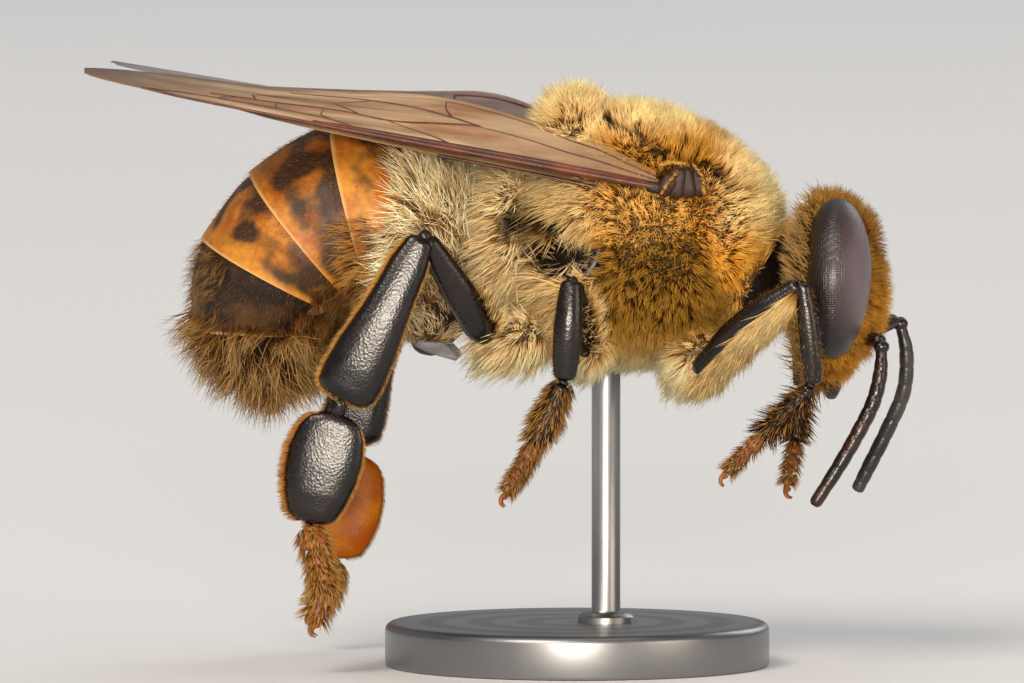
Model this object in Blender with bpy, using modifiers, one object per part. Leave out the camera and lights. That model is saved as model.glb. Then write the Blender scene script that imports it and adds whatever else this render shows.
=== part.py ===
"""A drone honey bee, life size, held in the air by a rod on a small round base.

Frame: metres, +Z up. The bee faces +X and its right side is at -Y. The origin is the middle of the
base's underside. Sizes below are in millimetres and are turned to metres by MM.
"""

import math

import bpy
import numpy as np
from mathutils import Matrix, Vector

MM = 0.001
GAP = 0.03            # clear space that keeps neighbouring pieces apart
RIGHT, LEFT = -1, 1   # the side of the bee, as the sign of Y
SIDE_NAMES = {RIGHT: "right", LEFT: "left"}

# ---- stand
BASE_RADIUS, BASE_THICK, BASE_EDGE, BASE_SIDES = 4.0, 0.9, 0.12, 32
ROD_X, ROD_RADIUS, ROD_TOP = 0.6, 0.3, 8.4

# ---- thorax: station x, lowest z, highest z, half width
THORAX = [(-1.75, 7.6, 9.6, 0.8), (-1.55, 7.1, 10.3, 1.4), (-1.1, 6.6, 11.0, 2.0),
          (-0.4, 6.3, 11.5, 2.45), (0.4, 6.12, 11.9, 2.7), (1.2, 6.08, 12.02, 2.8),
          (2.0, 6.15, 11.86, 2.78), (2.7, 6.45, 11.55, 2.65), (3.3, 6.95, 11.2, 2.4),
          (3.8, 7.65, 10.82, 2.05), (4.15, 8.3, 10.4, 1.6), (4.38, 8.9, 9.95, 0.9)]
SCUTELLUM_AT, SCUTELLUM_RADII = (-0.05, 0.0, 11.0), (0.95, 1.75, 1.2)

# ---- head: height z, back x, front x, half width
HEAD = [(5.58, 4.98, 5.3, 0.5), (5.74, 4.8, 5.48, 0.9), (6.1, 4.68, 5.84, 1.4), (6.66, 4.62, 6.14, 1.85),
        (7.28, 4.6, 6.42, 2.12), (7.68, 4.6, 6.5, 2.2), (8.12, 4.6, 6.48, 2.22), (8.58, 4.62, 6.3, 2.15),
        (9.05, 4.66, 6.14, 1.98), (9.42, 4.74, 5.96, 1.7), (9.7, 4.84, 5.75, 1.3), (9.86, 5.0, 5.5, 0.8)]
EYE_AT, EYE_RADII, EYE_LEAN = (5.46, 1.3, 8.12), (0.72, 1.15, 1.66), math.radians(3)
NECK = [(3.4, 0.0, 8.7), (5.2, 0.0, 8.1)]

# ---- abdomen: it curls about one line, so every ring is a plane through that line
CURL_X, CURL_Z = -3.9, 6.82
# angle, inner radius, outer radius, half width
ABDOMEN = [(-12, 0.3, 1.3, 0.7), (8, 0.25, 1.8, 1.0), (30, 0.25, 2.5, 1.35), (50, 0.25, 3.15, 1.75),
           (66, 0.25, 3.95, 2.2), (80, 0.25, 4.42, 2.5), (92, 0.28, 4.58, 2.6), (105, 0.35, 4.63, 2.65),
           (118, 0.45, 4.55, 2.65), (130, 0.6, 4.47, 2.6), (141, 0.75, 4.42, 2.5), (152, 0.9, 4.43, 2.4),
           (163, 1.0, 4.6, 2.2), (171, 1.12, 4.72, 2.0), (178, 1.25, 4.42, 1.8), (184, 1.35, 4.1, 1.65),
           (190, 1.45, 3.96, 1.45), (201, 1.6, 3.32, 1.1), (207, 1.7, 2.82, 0.8)]
RIM_ANGLES = [-12, 74, 105, 130, 152, 178, 207]  # where one plate ends and the next begins
RIM_FLARE = 0.05                                 # how far a plate's rear rim stands over the next plate

# ---- wings
WING_THICK = 0.5
FORE_ROOT, FORE_TIP = (1.8, 2.6, 10.1), (-9.86, 4.05, 12.3)
HIND_ROOT, HIND_TIP = (0.9, 2.3, 9.84), (-6.9, 3.0, 11.3)
FORE_SLOPE, HIND_SLOPE = math.radians(11), math.radians(11)
# outline of each wing: distance from the root as a share of its length, and from the front edge in mm
FORE_OUTLINE = [(0, 0.05), (0.3, -0.05), (0.62, -0.08), (0.88, 0.1), (0.97, 0.42), (1.0, 0.95),
                (0.96, 1.7), (0.86, 2.6), (0.7, 3.25), (0.55, 3.35), (0.4, 2.85), (0.2, 1.45), (0, 0.5)]
HIND_OUTLINE = [(0, 0.0), (0.4, -0.05), (0.8, 0.1), (0.97, 0.5), (1.0, 1.0), (0.9, 1.5),
                (0.7, 1.95), (0.45, 2.0), (0.25, 1.75), (0.1, 1.0), (0, 0.45)]
TEGULA_AT, TEGULA_RADII = (2.36, 2.72, 10.14), (0.5, 0.26, 0.34)

# ---- antennae: scape from face to elbow, then the flagellum, each point as (x, distance from the middle, z)
SCAPES = {RIGHT: ((5.9, 0.45, 6.74), (6.36, 1.3, 6.9)), LEFT: ((5.9, 0.45, 6.84), (6.56, 1.1, 7.16))}
FLAGELLA = {RIGHT: [(6.38, 1.55, 6.72), (6.36, 1.62, 6.2), (6.22, 1.7, 5.61), (5.93, 1.78, 5.01),
                    (5.53, 1.85, 4.31), (4.97, 1.95, 3.42)],
            LEFT: [(6.67, 1.3, 7.05), (6.8, 1.34, 6.45), (6.74, 1.4, 5.65), (6.4, 1.48, 4.84),
                   (6.0, 1.55, 4.04), (5.73, 1.6, 3.5)]}
FEELER_RADIUS = 0.24

# ---- legs: joints from body to foot as (x, distance from the middle, z)
LEGS = {
    ("hind", RIGHT): {"hip": [(-0.9, 0.9, 6.45), (-1.62, 1.6, 6.75)],
                      "femur": [(-1.85, 2.15, 6.93), (-2.89, 3.0, 9.0)],
                      "tibia": [(-3.02, 3.25, 9.05), (-3.78, 3.28, 7.39), (-4.66, 3.22, 5.62)],
                      "basitarsus": [(-4.76, 3.2, 5.36), (-5.02, 3.15, 4.38), (-5.28, 3.1, 3.2)],
                      "tarsus": [(-5.34, 3.1, 3.06), (-5.15, 3.05, 2.38), (-5.05, 3.0, 1.72), (-5.36, 2.95, 0.85)]},
    ("hind", LEFT): {"hip": [(-0.9, 0.9, 6.45), (-1.62, 1.6, 6.7)],
                     "femur": [(-1.85, 2.15, 6.85), (-3.4, 3.0, 8.1)],
                     "tibia": [(-3.68, 3.25, 7.95), (-4.58, 3.28, 6.1), (-5.05, 3.22, 4.38)],
                     "basitarsus": [(-4.93, 3.2, 4.14), (-5.1, 3.15, 3.06), (-5.28, 3.1, 1.96)],
                     "tarsus": [(-5.34, 3.1, 1.8), (-5.44, 3.05, 1.45), (-5.56, 3.0, 1.14), (-5.7, 2.95, 0.88)]},
    ("middle", RIGHT): {"hip": [(0.3, 1.0, 6.25), (0.3, 1.8, 6.45)],
                        "femur": [(0.35, 2.35, 6.7), (0.13, 3.3, 8.05)],
                        "tibia": [(0.08, 3.55, 8.2), (0.04, 3.6, 7.2), (-0.04, 3.5, 6.16)],
                        "basitarsus": [(-0.12, 3.48, 6.0), (-0.38, 3.44, 5.4), (-0.66, 3.4, 4.84)],
                        "tarsus": [(-0.72, 3.38, 4.7), (-0.92, 3.35, 4.3), (-1.12, 3.3, 3.95), (-1.34, 3.25, 3.72)]},
    ("middle", LEFT): {"hip": [(0.3, 1.0, 6.25), (0.3, 1.8, 6.4)],
                       "femur": [(0.25, 2.35, 6.6), (-0.3, 3.3, 7.75)],
                       "tibia": [(-0.38, 3.55, 7.85), (-0.4, 3.6, 6.85), (-0.46, 3.5, 5.85)],
                       "basitarsus": [(-0.52, 3.48, 5.7), (-0.76, 3.44, 5.1), (-1.0, 3.4, 4.55)],
                       "tarsus": [(-1.06, 3.38, 4.42), (-1.26, 3.35, 4.05), (-1.45, 3.3, 3.7), (-1.62, 3.25, 3.5)]},
    ("front", RIGHT): {"hip": [(2.5, 0.8, 6.35), (2.4, 1.5, 5.98)],
                       "femur": [(2.72, 2.0, 6.3), (3.8, 2.7, 7.35), (4.7, 2.85, 8.05)],
                       "tibia": [(4.86, 2.9, 8.1), (4.98, 2.88, 7.0), (5.02, 2.8, 6.1)],
                       "basitarsus": [(4.9, 2.78, 5.95), (4.44, 2.74, 5.42), (4.04, 2.7, 5.0)],
                       "tarsus": [(3.94, 2.68, 4.9), (3.6, 2.66, 4.56), (3.36, 2.62, 4.32), (3.16, 2.6, 4.12)]},
    ("front", LEFT): {"hip": [(2.5, 0.8, 6.35), (2.4, 1.5, 5.98)],
                      "femur": [(2.72, 2.0, 6.3), (3.6, 2.7, 7.2), (4.3, 2.85, 7.8)],
                      "tibia": [(4.42, 2.9, 7.86), (4.55, 2.85, 6.8), (4.56, 2.75, 5.75)],
                      "basitarsus": [(4.53, 2.72, 5.56), (4.48, 2.7, 5.05), (4.42, 2.68, 4.6)],
                      "tarsus": [(4.4, 2.66, 4.48), (4.36, 2.64, 4.1), (4.3, 2.62, 3.8), (4.22, 2.6, 3.5)]},
}
# half widths along the leg's flat side, and half thicknesses across it, from the upper end to the lower
LEG_WIDTHS = {
    "hind": {"hip": (0.58, 0.46), "femur": (0.3, 0.38, 0.36, 0.28), "tibia": (0.27, 0.4, 0.56, 0.66, 0.62),
             "basitarsus": (0.46, 0.7, 0.76, 0.7, 0.42), "tarsus": (0.3, 0.27, 0.25, 0.27, 0.25)},
    "middle": {"hip": (0.6, 0.46), "femur": (0.3, 0.34, 0.32, 0.28), "tibia": (0.26, 0.3, 0.33, 0.32, 0.27),
               "basitarsus": (0.26, 0.36, 0.38, 0.3), "tarsus": (0.26, 0.28, 0.26, 0.25)},
    "front": {"hip": (0.7, 0.56), "femur": (0.34, 0.42, 0.36, 0.26), "tibia": (0.26, 0.28, 0.28, 0.26),
              "basitarsus": (0.26, 0.34, 0.34, 0.28), "tarsus": (0.26, 0.28, 0.26, 0.25)},
}
LEG_THICKNESS = {"hip": 0.5, "femur": 0.28, "tibia": 0.25, "basitarsus": 0.25, "tarsus": 0.25}
MANDIBLE, MANDIBLE_WIDTHS = ((5.3, 0.62, 6.0), (5.25, 0.46, 5.6), (5.2, 0.2, 5.4)), (0.26, 0.24, 0.16)

# name: linear colour, roughness, metallic
FINISHES = {
    "fur_gold": ((0.55, 0.33, 0.1), 0.9, 0.0), "fur_brown": ((0.3, 0.16, 0.05), 0.9, 0.0),
    "shell_amber": ((0.5, 0.2, 0.04), 0.35, 0.0), "shell_dark": ((0.03, 0.02, 0.018), 0.3, 0.0),
    "eye_brown": ((0.09, 0.06, 0.065), 0.25, 0.0), "wing_membrane": ((0.62, 0.5, 0.36), 0.3, 0.0),
    "foot_orange": ((0.42, 0.17, 0.04), 0.5, 0.0), "stand_steel": ((0.55, 0.55, 0.56), 0.35, 1.0),
}

part = bpy.data.collections.new("honey_bee_drone")
cutters = bpy.data.collections.new("cutters")
materials = {}


def clear_scene():
    """Removes what the startup file holds."""
    for obj in list(bpy.data.objects):
        bpy.data.objects.remove(obj)
    bpy.context.scene.collection.children.link(part)
    bpy.context.scene.collection.children.link(cutters)
    cutters.hide_render = True


def make_materials():
    """One Principled material for each finish."""
    for name, (colour, roughness, metallic) in FINISHES.items():
        material = bpy.data.materials.new(name)
        material.use_nodes = True
        shader = material.node_tree.nodes["Principled BSDF"]
        shader.inputs["Base Color"].default_value = (*colour, 1)
        shader.inputs["Roughness"].default_value = roughness
        shader.inputs["Metallic"].default_value = metallic
        materials[name] = material


def keep(obj, name, finish):
    """Names an object, gives it its finish and files it with the part."""
    obj.name = name
    for collection in list(obj.users_collection):
        collection.objects.unlink(obj)
    part.objects.link(obj)
    obj.data.materials.clear()
    obj.data.materials.append(materials[finish])
    if obj.type == "MESH":
        obj.data.shade_smooth()
        obj.data.set_sharp_from_angle(angle=math.radians(40))
    return obj


def place(point, side=RIGHT):
    """A place given as (x, distance from the middle, z) in mm, on one side of the bee, in metres."""
    x, out, z = point
    return Vector((x * MM, side * out * MM, z * MM))


def superellipse(turn, power):
    """The point of a unit superellipse at this turn."""
    c, s = math.cos(turn), math.sin(turn)
    return (math.copysign(abs(c) ** (2 / power), c), math.copysign(abs(s) ** (2 / power), s))


def ring(centre, across, up, half_width, half_up, half_down, sides, power=2.2):
    """A closed ring about a centre; its upper and lower halves may differ."""
    points = []
    for i in range(sides):
        c, s = superellipse(2 * math.pi * i / sides, power)
        points.append(centre + across * (half_width * c) + up * ((half_up if s > 0 else half_down) * s))
    return points


def loft(name, rings, finish):
    """A closed solid through rings of equally many points, flat at both ends."""
    count = len(rings[0])
    vertices = [p for points in rings for p in points]
    faces = [tuple(range(count))[::-1], tuple(range(len(vertices) - count, len(vertices)))]
    for r in range(len(rings) - 1):
        for i in range(count):
            a, b = r * count + i, r * count + (i + 1) % count
            faces.append((a, b, b + count, a + count))
    mesh = bpy.data.meshes.new(name)
    mesh.from_pydata(vertices, [], faces)
    obj = bpy.data.objects.new(name, mesh)
    bpy.context.scene.collection.objects.link(obj)
    face_outwards(mesh)
    return keep(obj, name, finish)


def face_outwards(mesh):
    """Turns a closed mesh's faces round if they point inwards."""
    mesh.calc_loop_triangles()
    volume = 0.0
    for triangle in mesh.loop_triangles:
        a, b, c = (mesh.vertices[v].co for v in triangle.vertices)
        volume += a.dot(b.cross(c))
    if volume < 0:
        mesh.flip_normals()


def ball(name, at, radii, finish, lean=0.0, segments=16, rows=10):
    """An ellipsoid from a sphere, leaning about Y."""
    bpy.ops.mesh.primitive_uv_sphere_add(segments=segments, ring_count=rows, radius=1)
    obj = bpy.context.active_object
    turn = Matrix.Rotation(lean, 4, "Y")
    shape = Matrix.Diagonal((*(r * MM for r in radii), 1))
    obj.data.transform(Matrix.Translation(at) @ turn @ shape)
    return keep(obj, name, finish)


def swollen(obj, by=GAP):
    """A hidden cutter: a copy of an object, a little fatter all over."""
    mesh = obj.data.copy()
    mesh.transform(obj.matrix_world)
    normals = [v.normal.copy() for v in mesh.vertices]
    for vertex, normal in zip(mesh.vertices, normals):
        vertex.co += normal * by * MM
    cutter = bpy.data.objects.new(obj.name + "_cutter", mesh)
    cutters.objects.link(cutter)
    cutter.hide_render = True
    cutter.display_type = "WIRE"
    return cutter


def cut(obj, *others, by=GAP):
    """Cuts room for other pieces out of an object."""
    for other in others:
        modifier = obj.modifiers.new("room_for_" + other.name, "BOOLEAN")
        modifier.operation = "DIFFERENCE"
        modifier.object = swollen(other, by)


def between(points, share):
    """The point at a share of the way along a smooth path through points."""
    count = len(points) - 1
    at = min(share * count, count - 1e-9)
    i = int(at)
    t = at - i
    p1, p2 = points[i], points[i + 1]
    p0 = points[i - 1] if i else p1 * 2 - p2
    p3 = points[i + 2] if i + 2 <= count else p2 * 2 - p1
    return 0.5 * (2 * p1 + (p2 - p0) * t + (2 * p0 - 5 * p1 + 4 * p2 - p3) * t * t
                  + (3 * p1 - p0 - 3 * p2 + p3) * t ** 3)


def limb(name, points, half_widths, half_thick, finish, sides=8, rings=6, end=0.62):
    """A leg piece along a path: wide in the path's own plane, thin across it, with rounded ends."""
    shares = [i / (rings - 1) for i in range(rings)]
    places = [between(points, s) for s in shares]
    outward = Vector((0, 1, 0))
    made = []
    for i, s in enumerate(shares):
        along = (places[min(i + 1, rings - 1)] - places[max(i - 1, 0)]).normalized()
        flat = along.cross(outward).normalized()
        across = flat.cross(along).normalized()
        width = np.interp(s, np.linspace(0, 1, len(half_widths)), half_widths) * MM
        thick = min(half_thick * MM, width)
        at_end = i in (0, rings - 1)
        if i == 0:
            made.append(ring(places[i], flat, across, width * end, thick * end, thick * end, sides))
            places[i] = places[i] + along * thick * 0.45
        if i == rings - 1:
            places[i] = places[i] - along * thick * 0.45
        made.append(ring(places[i], flat, across, width, thick, thick, sides))
        if i == rings - 1:
            made.append(ring(places[i] + along * thick * 0.45, flat, across,
                             width * end, thick * end, thick * end, sides))
    return loft(name, made, finish)


def make_stand():
    """A round steel base and one rod up into the underside of the thorax."""
    bpy.ops.mesh.primitive_cylinder_add(vertices=BASE_SIDES, radius=BASE_RADIUS * MM, depth=BASE_THICK * MM,
                                        location=(0, 0, BASE_THICK / 2 * MM))
    base = keep(bpy.context.active_object, "stand_base", "stand_steel")
    edge = base.modifiers.new("rounded_edge", "BEVEL")
    edge.width = BASE_EDGE * MM
    edge.segments = 1
    edge.limit_method = "ANGLE"
    bottom = BASE_THICK + GAP
    bpy.ops.mesh.primitive_cylinder_add(vertices=16, radius=ROD_RADIUS * MM, depth=(ROD_TOP - bottom) * MM,
                                        location=(ROD_X * MM, 0, (ROD_TOP + bottom) / 2 * MM))
    return keep(bpy.context.active_object, "stand_rod", "stand_steel")


def make_thorax():
    """The thorax out to the tips of its fur, and the lobe of the scutellum behind it."""
    rings = []
    for x, low, high, half_width in THORAX:
        middle = low + (high - low) * 0.47
        centre = Vector((x * MM, 0, middle * MM))
        rings.append(ring(centre, Vector((0, 1, 0)), Vector((0, 0, 1)), half_width * MM,
                          (high - middle) * MM, (middle - low) * MM, 20))
    thorax = loft("thorax", rings, "fur_gold")
    scutellum = ball("scutellum", place(SCUTELLUM_AT), SCUTELLUM_RADII, "fur_gold")
    cut(thorax, scutellum)
    return thorax, scutellum


def make_head():
    """The head out to the tips of its fur, with an eye sunk in each side."""
    rings = []
    for z, back, front, half_width in HEAD:
        middle = back + (front - back) * 0.4
        centre = Vector((middle * MM, 0, z * MM))
        rings.append(ring(centre, Vector((0, 1, 0)), Vector((1, 0, 0)), half_width * MM,
                          (front - middle) * MM, (middle - back) * MM, 20))
    head = loft("head", rings, "fur_gold")
    for side, name in SIDE_NAMES.items():
        cut(head, ball("eye_" + name, place(EYE_AT, side), EYE_RADII, "eye_brown", EYE_LEAN))
    return head


def make_neck(head, thorax):
    """The short dark neck between head and thorax."""
    neck = limb("neck", [place(p) for p in NECK], (0.8, 0.75), 0.8, "shell_dark", sides=12, rings=3, end=0.95)
    cut(neck, thorax, head)


def make_abdomen():
    """Six ringed plates, each flaring to a rim that stands over the next."""
    angles = [row[0] for row in ABDOMEN]
    plates = []
    for n, (start, end) in enumerate(zip(RIM_ANGLES, RIM_ANGLES[1:])):
        inside = [a for a in angles if start + 3 < a < end - 3]
        rings = []
        for i, angle in enumerate([start, *inside, end]):
            inner, outer, half_width = (np.interp(angle, angles, [row[k] for row in ABDOMEN]) for k in (1, 2, 3))
            flare = RIM_FLARE if angle == end and n < len(RIM_ANGLES) - 2 else 0.0
            turn = math.radians(angle)
            out = Vector((math.cos(turn), 0, math.sin(turn)))
            onward = Vector((-math.sin(turn), 0, math.cos(turn)))
            shift = GAP / 2 if angle == start else -GAP / 2 if angle == end else 0.0
            middle = inner + (outer - inner) * 0.5
            centre = (Vector((CURL_X, 0, CURL_Z)) + out * middle + onward * shift) * MM
            rings.append(ring(centre, Vector((0, 1, 0)), out, (half_width + flare) * MM,
                              (outer + flare - middle) * MM, (middle - inner) * MM, 24))
        finish = "fur_gold" if n == 0 else "fur_brown" if n > 3 else "shell_amber"
        plates.append(loft(f"abdomen_{n + 1}", rings, finish))
    return plates


def make_wing(name, root, tip, outline, slope, side):
    """A flat blade: its outline is a curve in the wing's own plane, which slopes down and out."""
    start, end = place(root, side), place(tip, side)
    length = (end - start).length / MM
    along = (end - start).normalized()
    inward = Vector((0, -side * math.cos(slope), math.sin(slope)))
    inward = (inward - along * inward.dot(along)).normalized()
    normal = along.cross(inward)
    curve = bpy.data.curves.new(name, "CURVE")
    curve.dimensions = "2D"
    curve.fill_mode = "BOTH"
    curve.extrude = WING_THICK / 2 * MM
    curve.resolution_u = 2
    spline = curve.splines.new("NURBS")
    spline.points.add(len(outline) - 1)
    for point, (share, back) in zip(spline.points, outline):
        point.co = (share * length * MM, back * MM, 0, 1)
    spline.use_cyclic_u = True
    spline.order_u = 3
    blade = bpy.data.objects.new(name + "_curve", curve)
    part.objects.link(blade)
    bpy.context.view_layer.update()
    graph = bpy.context.evaluated_depsgraph_get()
    mesh = bpy.data.meshes.new_from_object(blade.evaluated_get(graph))
    bpy.data.objects.remove(blade)
    weld(mesh)
    mesh.transform(Matrix.Translation(start) @ Matrix((along, inward, normal)).transposed().to_4x4())
    face_outwards(mesh)
    wing = bpy.data.objects.new(name, mesh)
    part.objects.link(wing)
    return keep(wing, name, "wing_membrane")


def weld(mesh):
    """Joins the loose caps of a curve's mesh to its sides."""
    import bmesh
    work = bmesh.new()
    work.from_mesh(mesh)
    bmesh.ops.remove_doubles(work, verts=work.verts, dist=1e-7)
    work.to_mesh(mesh)
    work.free()


def make_wings(thorax, scutellum, abdomen):
    """Two wings on each side, the hind one under the fore one, and the plate over their roots."""
    for side, name in SIDE_NAMES.items():
        fore = make_wing("forewing_" + name, FORE_ROOT, FORE_TIP, FORE_OUTLINE, FORE_SLOPE, side)
        hind = make_wing("hindwing_" + name, HIND_ROOT, HIND_TIP, HIND_OUTLINE, HIND_SLOPE, side)
        tegula = ball("tegula_" + name, place(TEGULA_AT, side), TEGULA_RADII, "shell_dark", segments=12, rows=8)
        cut(thorax, fore, hind, tegula)
        cut(scutellum, fore, hind)
        for plate in abdomen[:3]:
            cut(plate, hind)


def make_antennae(head):
    """A scape from the face, and the long flagellum that hangs from its elbow."""
    for side, name in SIDE_NAMES.items():
        start, end = (place(p, side) for p in SCAPES[side])
        scape = limb("antenna_scape_" + name, [start, end], (0.24, 0.26, 0.24), 0.25, "shell_dark", rings=4)
        cut(scape, head)
        path = [place(p, side) for p in FLAGELLA[side]]
        flagellum = limb("antenna_flagellum_" + name, path, (0.2, FEELER_RADIUS, FEELER_RADIUS, 0.25, 0.22),
                         0.25, "shell_dark", rings=14)
        cut(flagellum, scape)


def make_legs(thorax):
    """Six legs of five pieces each: hip, femur, tibia, basitarsus and the small foot joints."""
    finishes = {"hip": "fur_gold", "femur": "shell_dark", "tibia": "shell_dark",
                "basitarsus": "shell_dark", "tarsus": "foot_orange"}
    for (pair, side), pieces in LEGS.items():
        above = None
        for piece, points in pieces.items():
            if pair != "hind" and piece == "basitarsus":
                finish = "foot_orange"
            else:
                finish = finishes[piece]
            path = [place(p, side) for p in points]
            widths = LEG_WIDTHS[pair][piece]
            made = limb(f"leg_{pair}_{SIDE_NAMES[side]}_{piece}", path, widths, LEG_THICKNESS[piece],
                        finish, rings=max(4, len(widths) + 1))
            if piece in ("hip", "femur"):
                cut(made, thorax)
            if above is not None:
                cut(made, above)
            above = made


def make_mandibles(head):
    """The two jaws under the face."""
    for side, name in SIDE_NAMES.items():
        path = [place(p, side) for p in MANDIBLE]
        cut(limb("mandible_" + name, path, MANDIBLE_WIDTHS, 0.16, "shell_dark", rings=4), head)


def main():
    """Builds the bee from the middle outwards, and the stand that holds it."""
    clear_scene()
    make_materials()
    rod = make_stand()
    thorax, scutellum = make_thorax()
    head = make_head()
    make_neck(head, thorax)
    abdomen = make_abdomen()
    cut(abdomen[0], thorax, scutellum)
    make_wings(thorax, scutellum, abdomen)
    make_antennae(head)
    make_legs(thorax)
    make_mandibles(head)
    cut(thorax, rod)


main()
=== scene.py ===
"""Looks of a life-size drone honey bee on a display stand.

The bee faces +X with its right side at -Y, and +Z is up. Shapes are worked out in millimetres and
stored in metres. Soft body is one skin, the coat stands on it as solid hairs, and shell, eyes,
wings and feelers are pieces of their own.
"""

import logging
import math
from dataclasses import dataclass, field
from enum import Enum
from typing import Callable, Optional, Sequence

import bpy
import numpy as np
from mathutils import Matrix, Vector
from mathutils.kdtree import KDTree


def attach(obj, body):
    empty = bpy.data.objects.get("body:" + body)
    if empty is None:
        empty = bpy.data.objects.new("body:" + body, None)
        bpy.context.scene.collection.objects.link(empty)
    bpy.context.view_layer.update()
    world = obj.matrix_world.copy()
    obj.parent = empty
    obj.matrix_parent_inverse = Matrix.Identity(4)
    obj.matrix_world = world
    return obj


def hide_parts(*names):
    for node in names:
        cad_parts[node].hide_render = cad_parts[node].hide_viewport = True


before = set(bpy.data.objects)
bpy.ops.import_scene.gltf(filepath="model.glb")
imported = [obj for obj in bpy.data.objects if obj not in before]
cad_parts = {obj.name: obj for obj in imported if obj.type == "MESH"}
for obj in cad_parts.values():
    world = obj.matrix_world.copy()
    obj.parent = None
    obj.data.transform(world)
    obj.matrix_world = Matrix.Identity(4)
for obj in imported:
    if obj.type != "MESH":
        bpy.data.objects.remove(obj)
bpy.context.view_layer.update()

LOG = logging.getLogger("bee")
MM = 0.001
SEED = 20
PATCH = 0.003  # how wide each hair's patch is on the OFBake map


class Side(Enum):
    """Which side of the bee, as the sign of Y."""

    RIGHT = -1
    LEFT = 1

    @property
    def word(self) -> str:
        """The side's name as the CAD nodes spell it."""
        return self.name.lower()


class Hair(Enum):
    """The kinds of hair: radius at the root and bend, both as a share of the length, and its rows."""

    PLUSH = (0.028, 0.0, 1)
    PLUME = (0.02, 0.3, 2)
    SILK = (0.013, 0.35, 2)
    BRISTLE = (0.045, 0.0, 1)


# ---------------------------------------------------------------------------------------------
# Small tools
# ---------------------------------------------------------------------------------------------

def linear(code: str) -> tuple[float, float, float]:
    """Turns an sRGB hex colour to linear.

    Args:
        code: six hex digits, with or without a hash.
    Returns:
        Linear red, green and blue.
    """
    code = code.lstrip("#")
    channels = [int(code[i:i + 2], 16) / 255 for i in (0, 2, 4)]
    return tuple(c / 12.92 if c <= 0.04045 else ((c + 0.055) / 1.055) ** 2.4 for c in channels)


def node(tree: bpy.types.NodeTree, kind: str, settings: Optional[dict] = None, **links: object) -> bpy.types.Node:
    """Adds a node.

    Args:
        tree: the node tree it goes in.
        kind: its type name.
        settings: attributes of the node, such as its operation.
        links: input names, with spaces as underscores (or i0, i1 for a number), each given an
            output socket to link or a value to set.
    Returns:
        The new node.
    """
    made = tree.nodes.new(kind)
    for name, value in (settings or {}).items():
        setattr(made, name, value)
    for name, value in links.items():
        number = name[1:]
        socket = made.inputs[int(number)] if name[0] == "i" and number.isdigit() else made.inputs[name.replace("_", " ")]
        if isinstance(value, bpy.types.NodeSocket):
            tree.links.new(value, socket)
        else:
            socket.default_value = value
    return made


def smoothstep(low: float, high: float, value: np.ndarray) -> np.ndarray:
    """0 below low, 1 above high, and smooth between them; low may be the larger."""
    t = np.clip((value - low) / (high - low), 0, 1)
    return t * t * (3 - 2 * t)


def unit(vectors: np.ndarray) -> np.ndarray:
    """The vectors at length 1."""
    return vectors / np.maximum(np.linalg.norm(vectors, axis=-1, keepdims=True), 1e-12)


def mixed(a: np.ndarray, b: Sequence[float], share: np.ndarray) -> np.ndarray:
    """Colours a turned towards colour b by a share for each row."""
    return a + (np.asarray(b) - a) * share[:, None]


def wobble(points: np.ndarray, size: float, seed: int) -> np.ndarray:
    """A smooth random number for each place, about -1 to 1.

    Args:
        points: places in mm.
        size: distance over which it changes, in mm.
        seed: which pattern.
    Returns:
        One number for each place.
    """
    rng = np.random.default_rng(seed)
    total = np.zeros(len(points))
    for _ in range(7):
        way = unit(rng.normal(size=3)) * (2 * math.pi / size) * rng.uniform(0.6, 1.6)
        total += np.sin(points @ way + rng.uniform(0, 2 * math.pi))
    return total / 3.2


def spline(points: Sequence[Sequence[float]], shares: np.ndarray) -> np.ndarray:
    """Places along a smooth path.

    Args:
        points: the path's points.
        shares: how far along, from 0 to 1.
    Returns:
        A row for each share.
    """
    p = np.asarray(points, float)
    p = np.vstack([2 * p[0] - p[1], p, 2 * p[-1] - p[-2]])
    count = len(points) - 1
    at = np.clip(np.asarray(shares, float) * count, 0, count - 1e-9)
    i = at.astype(int)
    t = (at - i)[:, None]
    a, b, c, d = p[i], p[i + 1], p[i + 2], p[i + 3]
    return 0.5 * (2 * b + (c - a) * t + (2 * a - 5 * b + 4 * c - d) * t ** 2 + (3 * b - a - 3 * c + d) * t ** 3)


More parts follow.
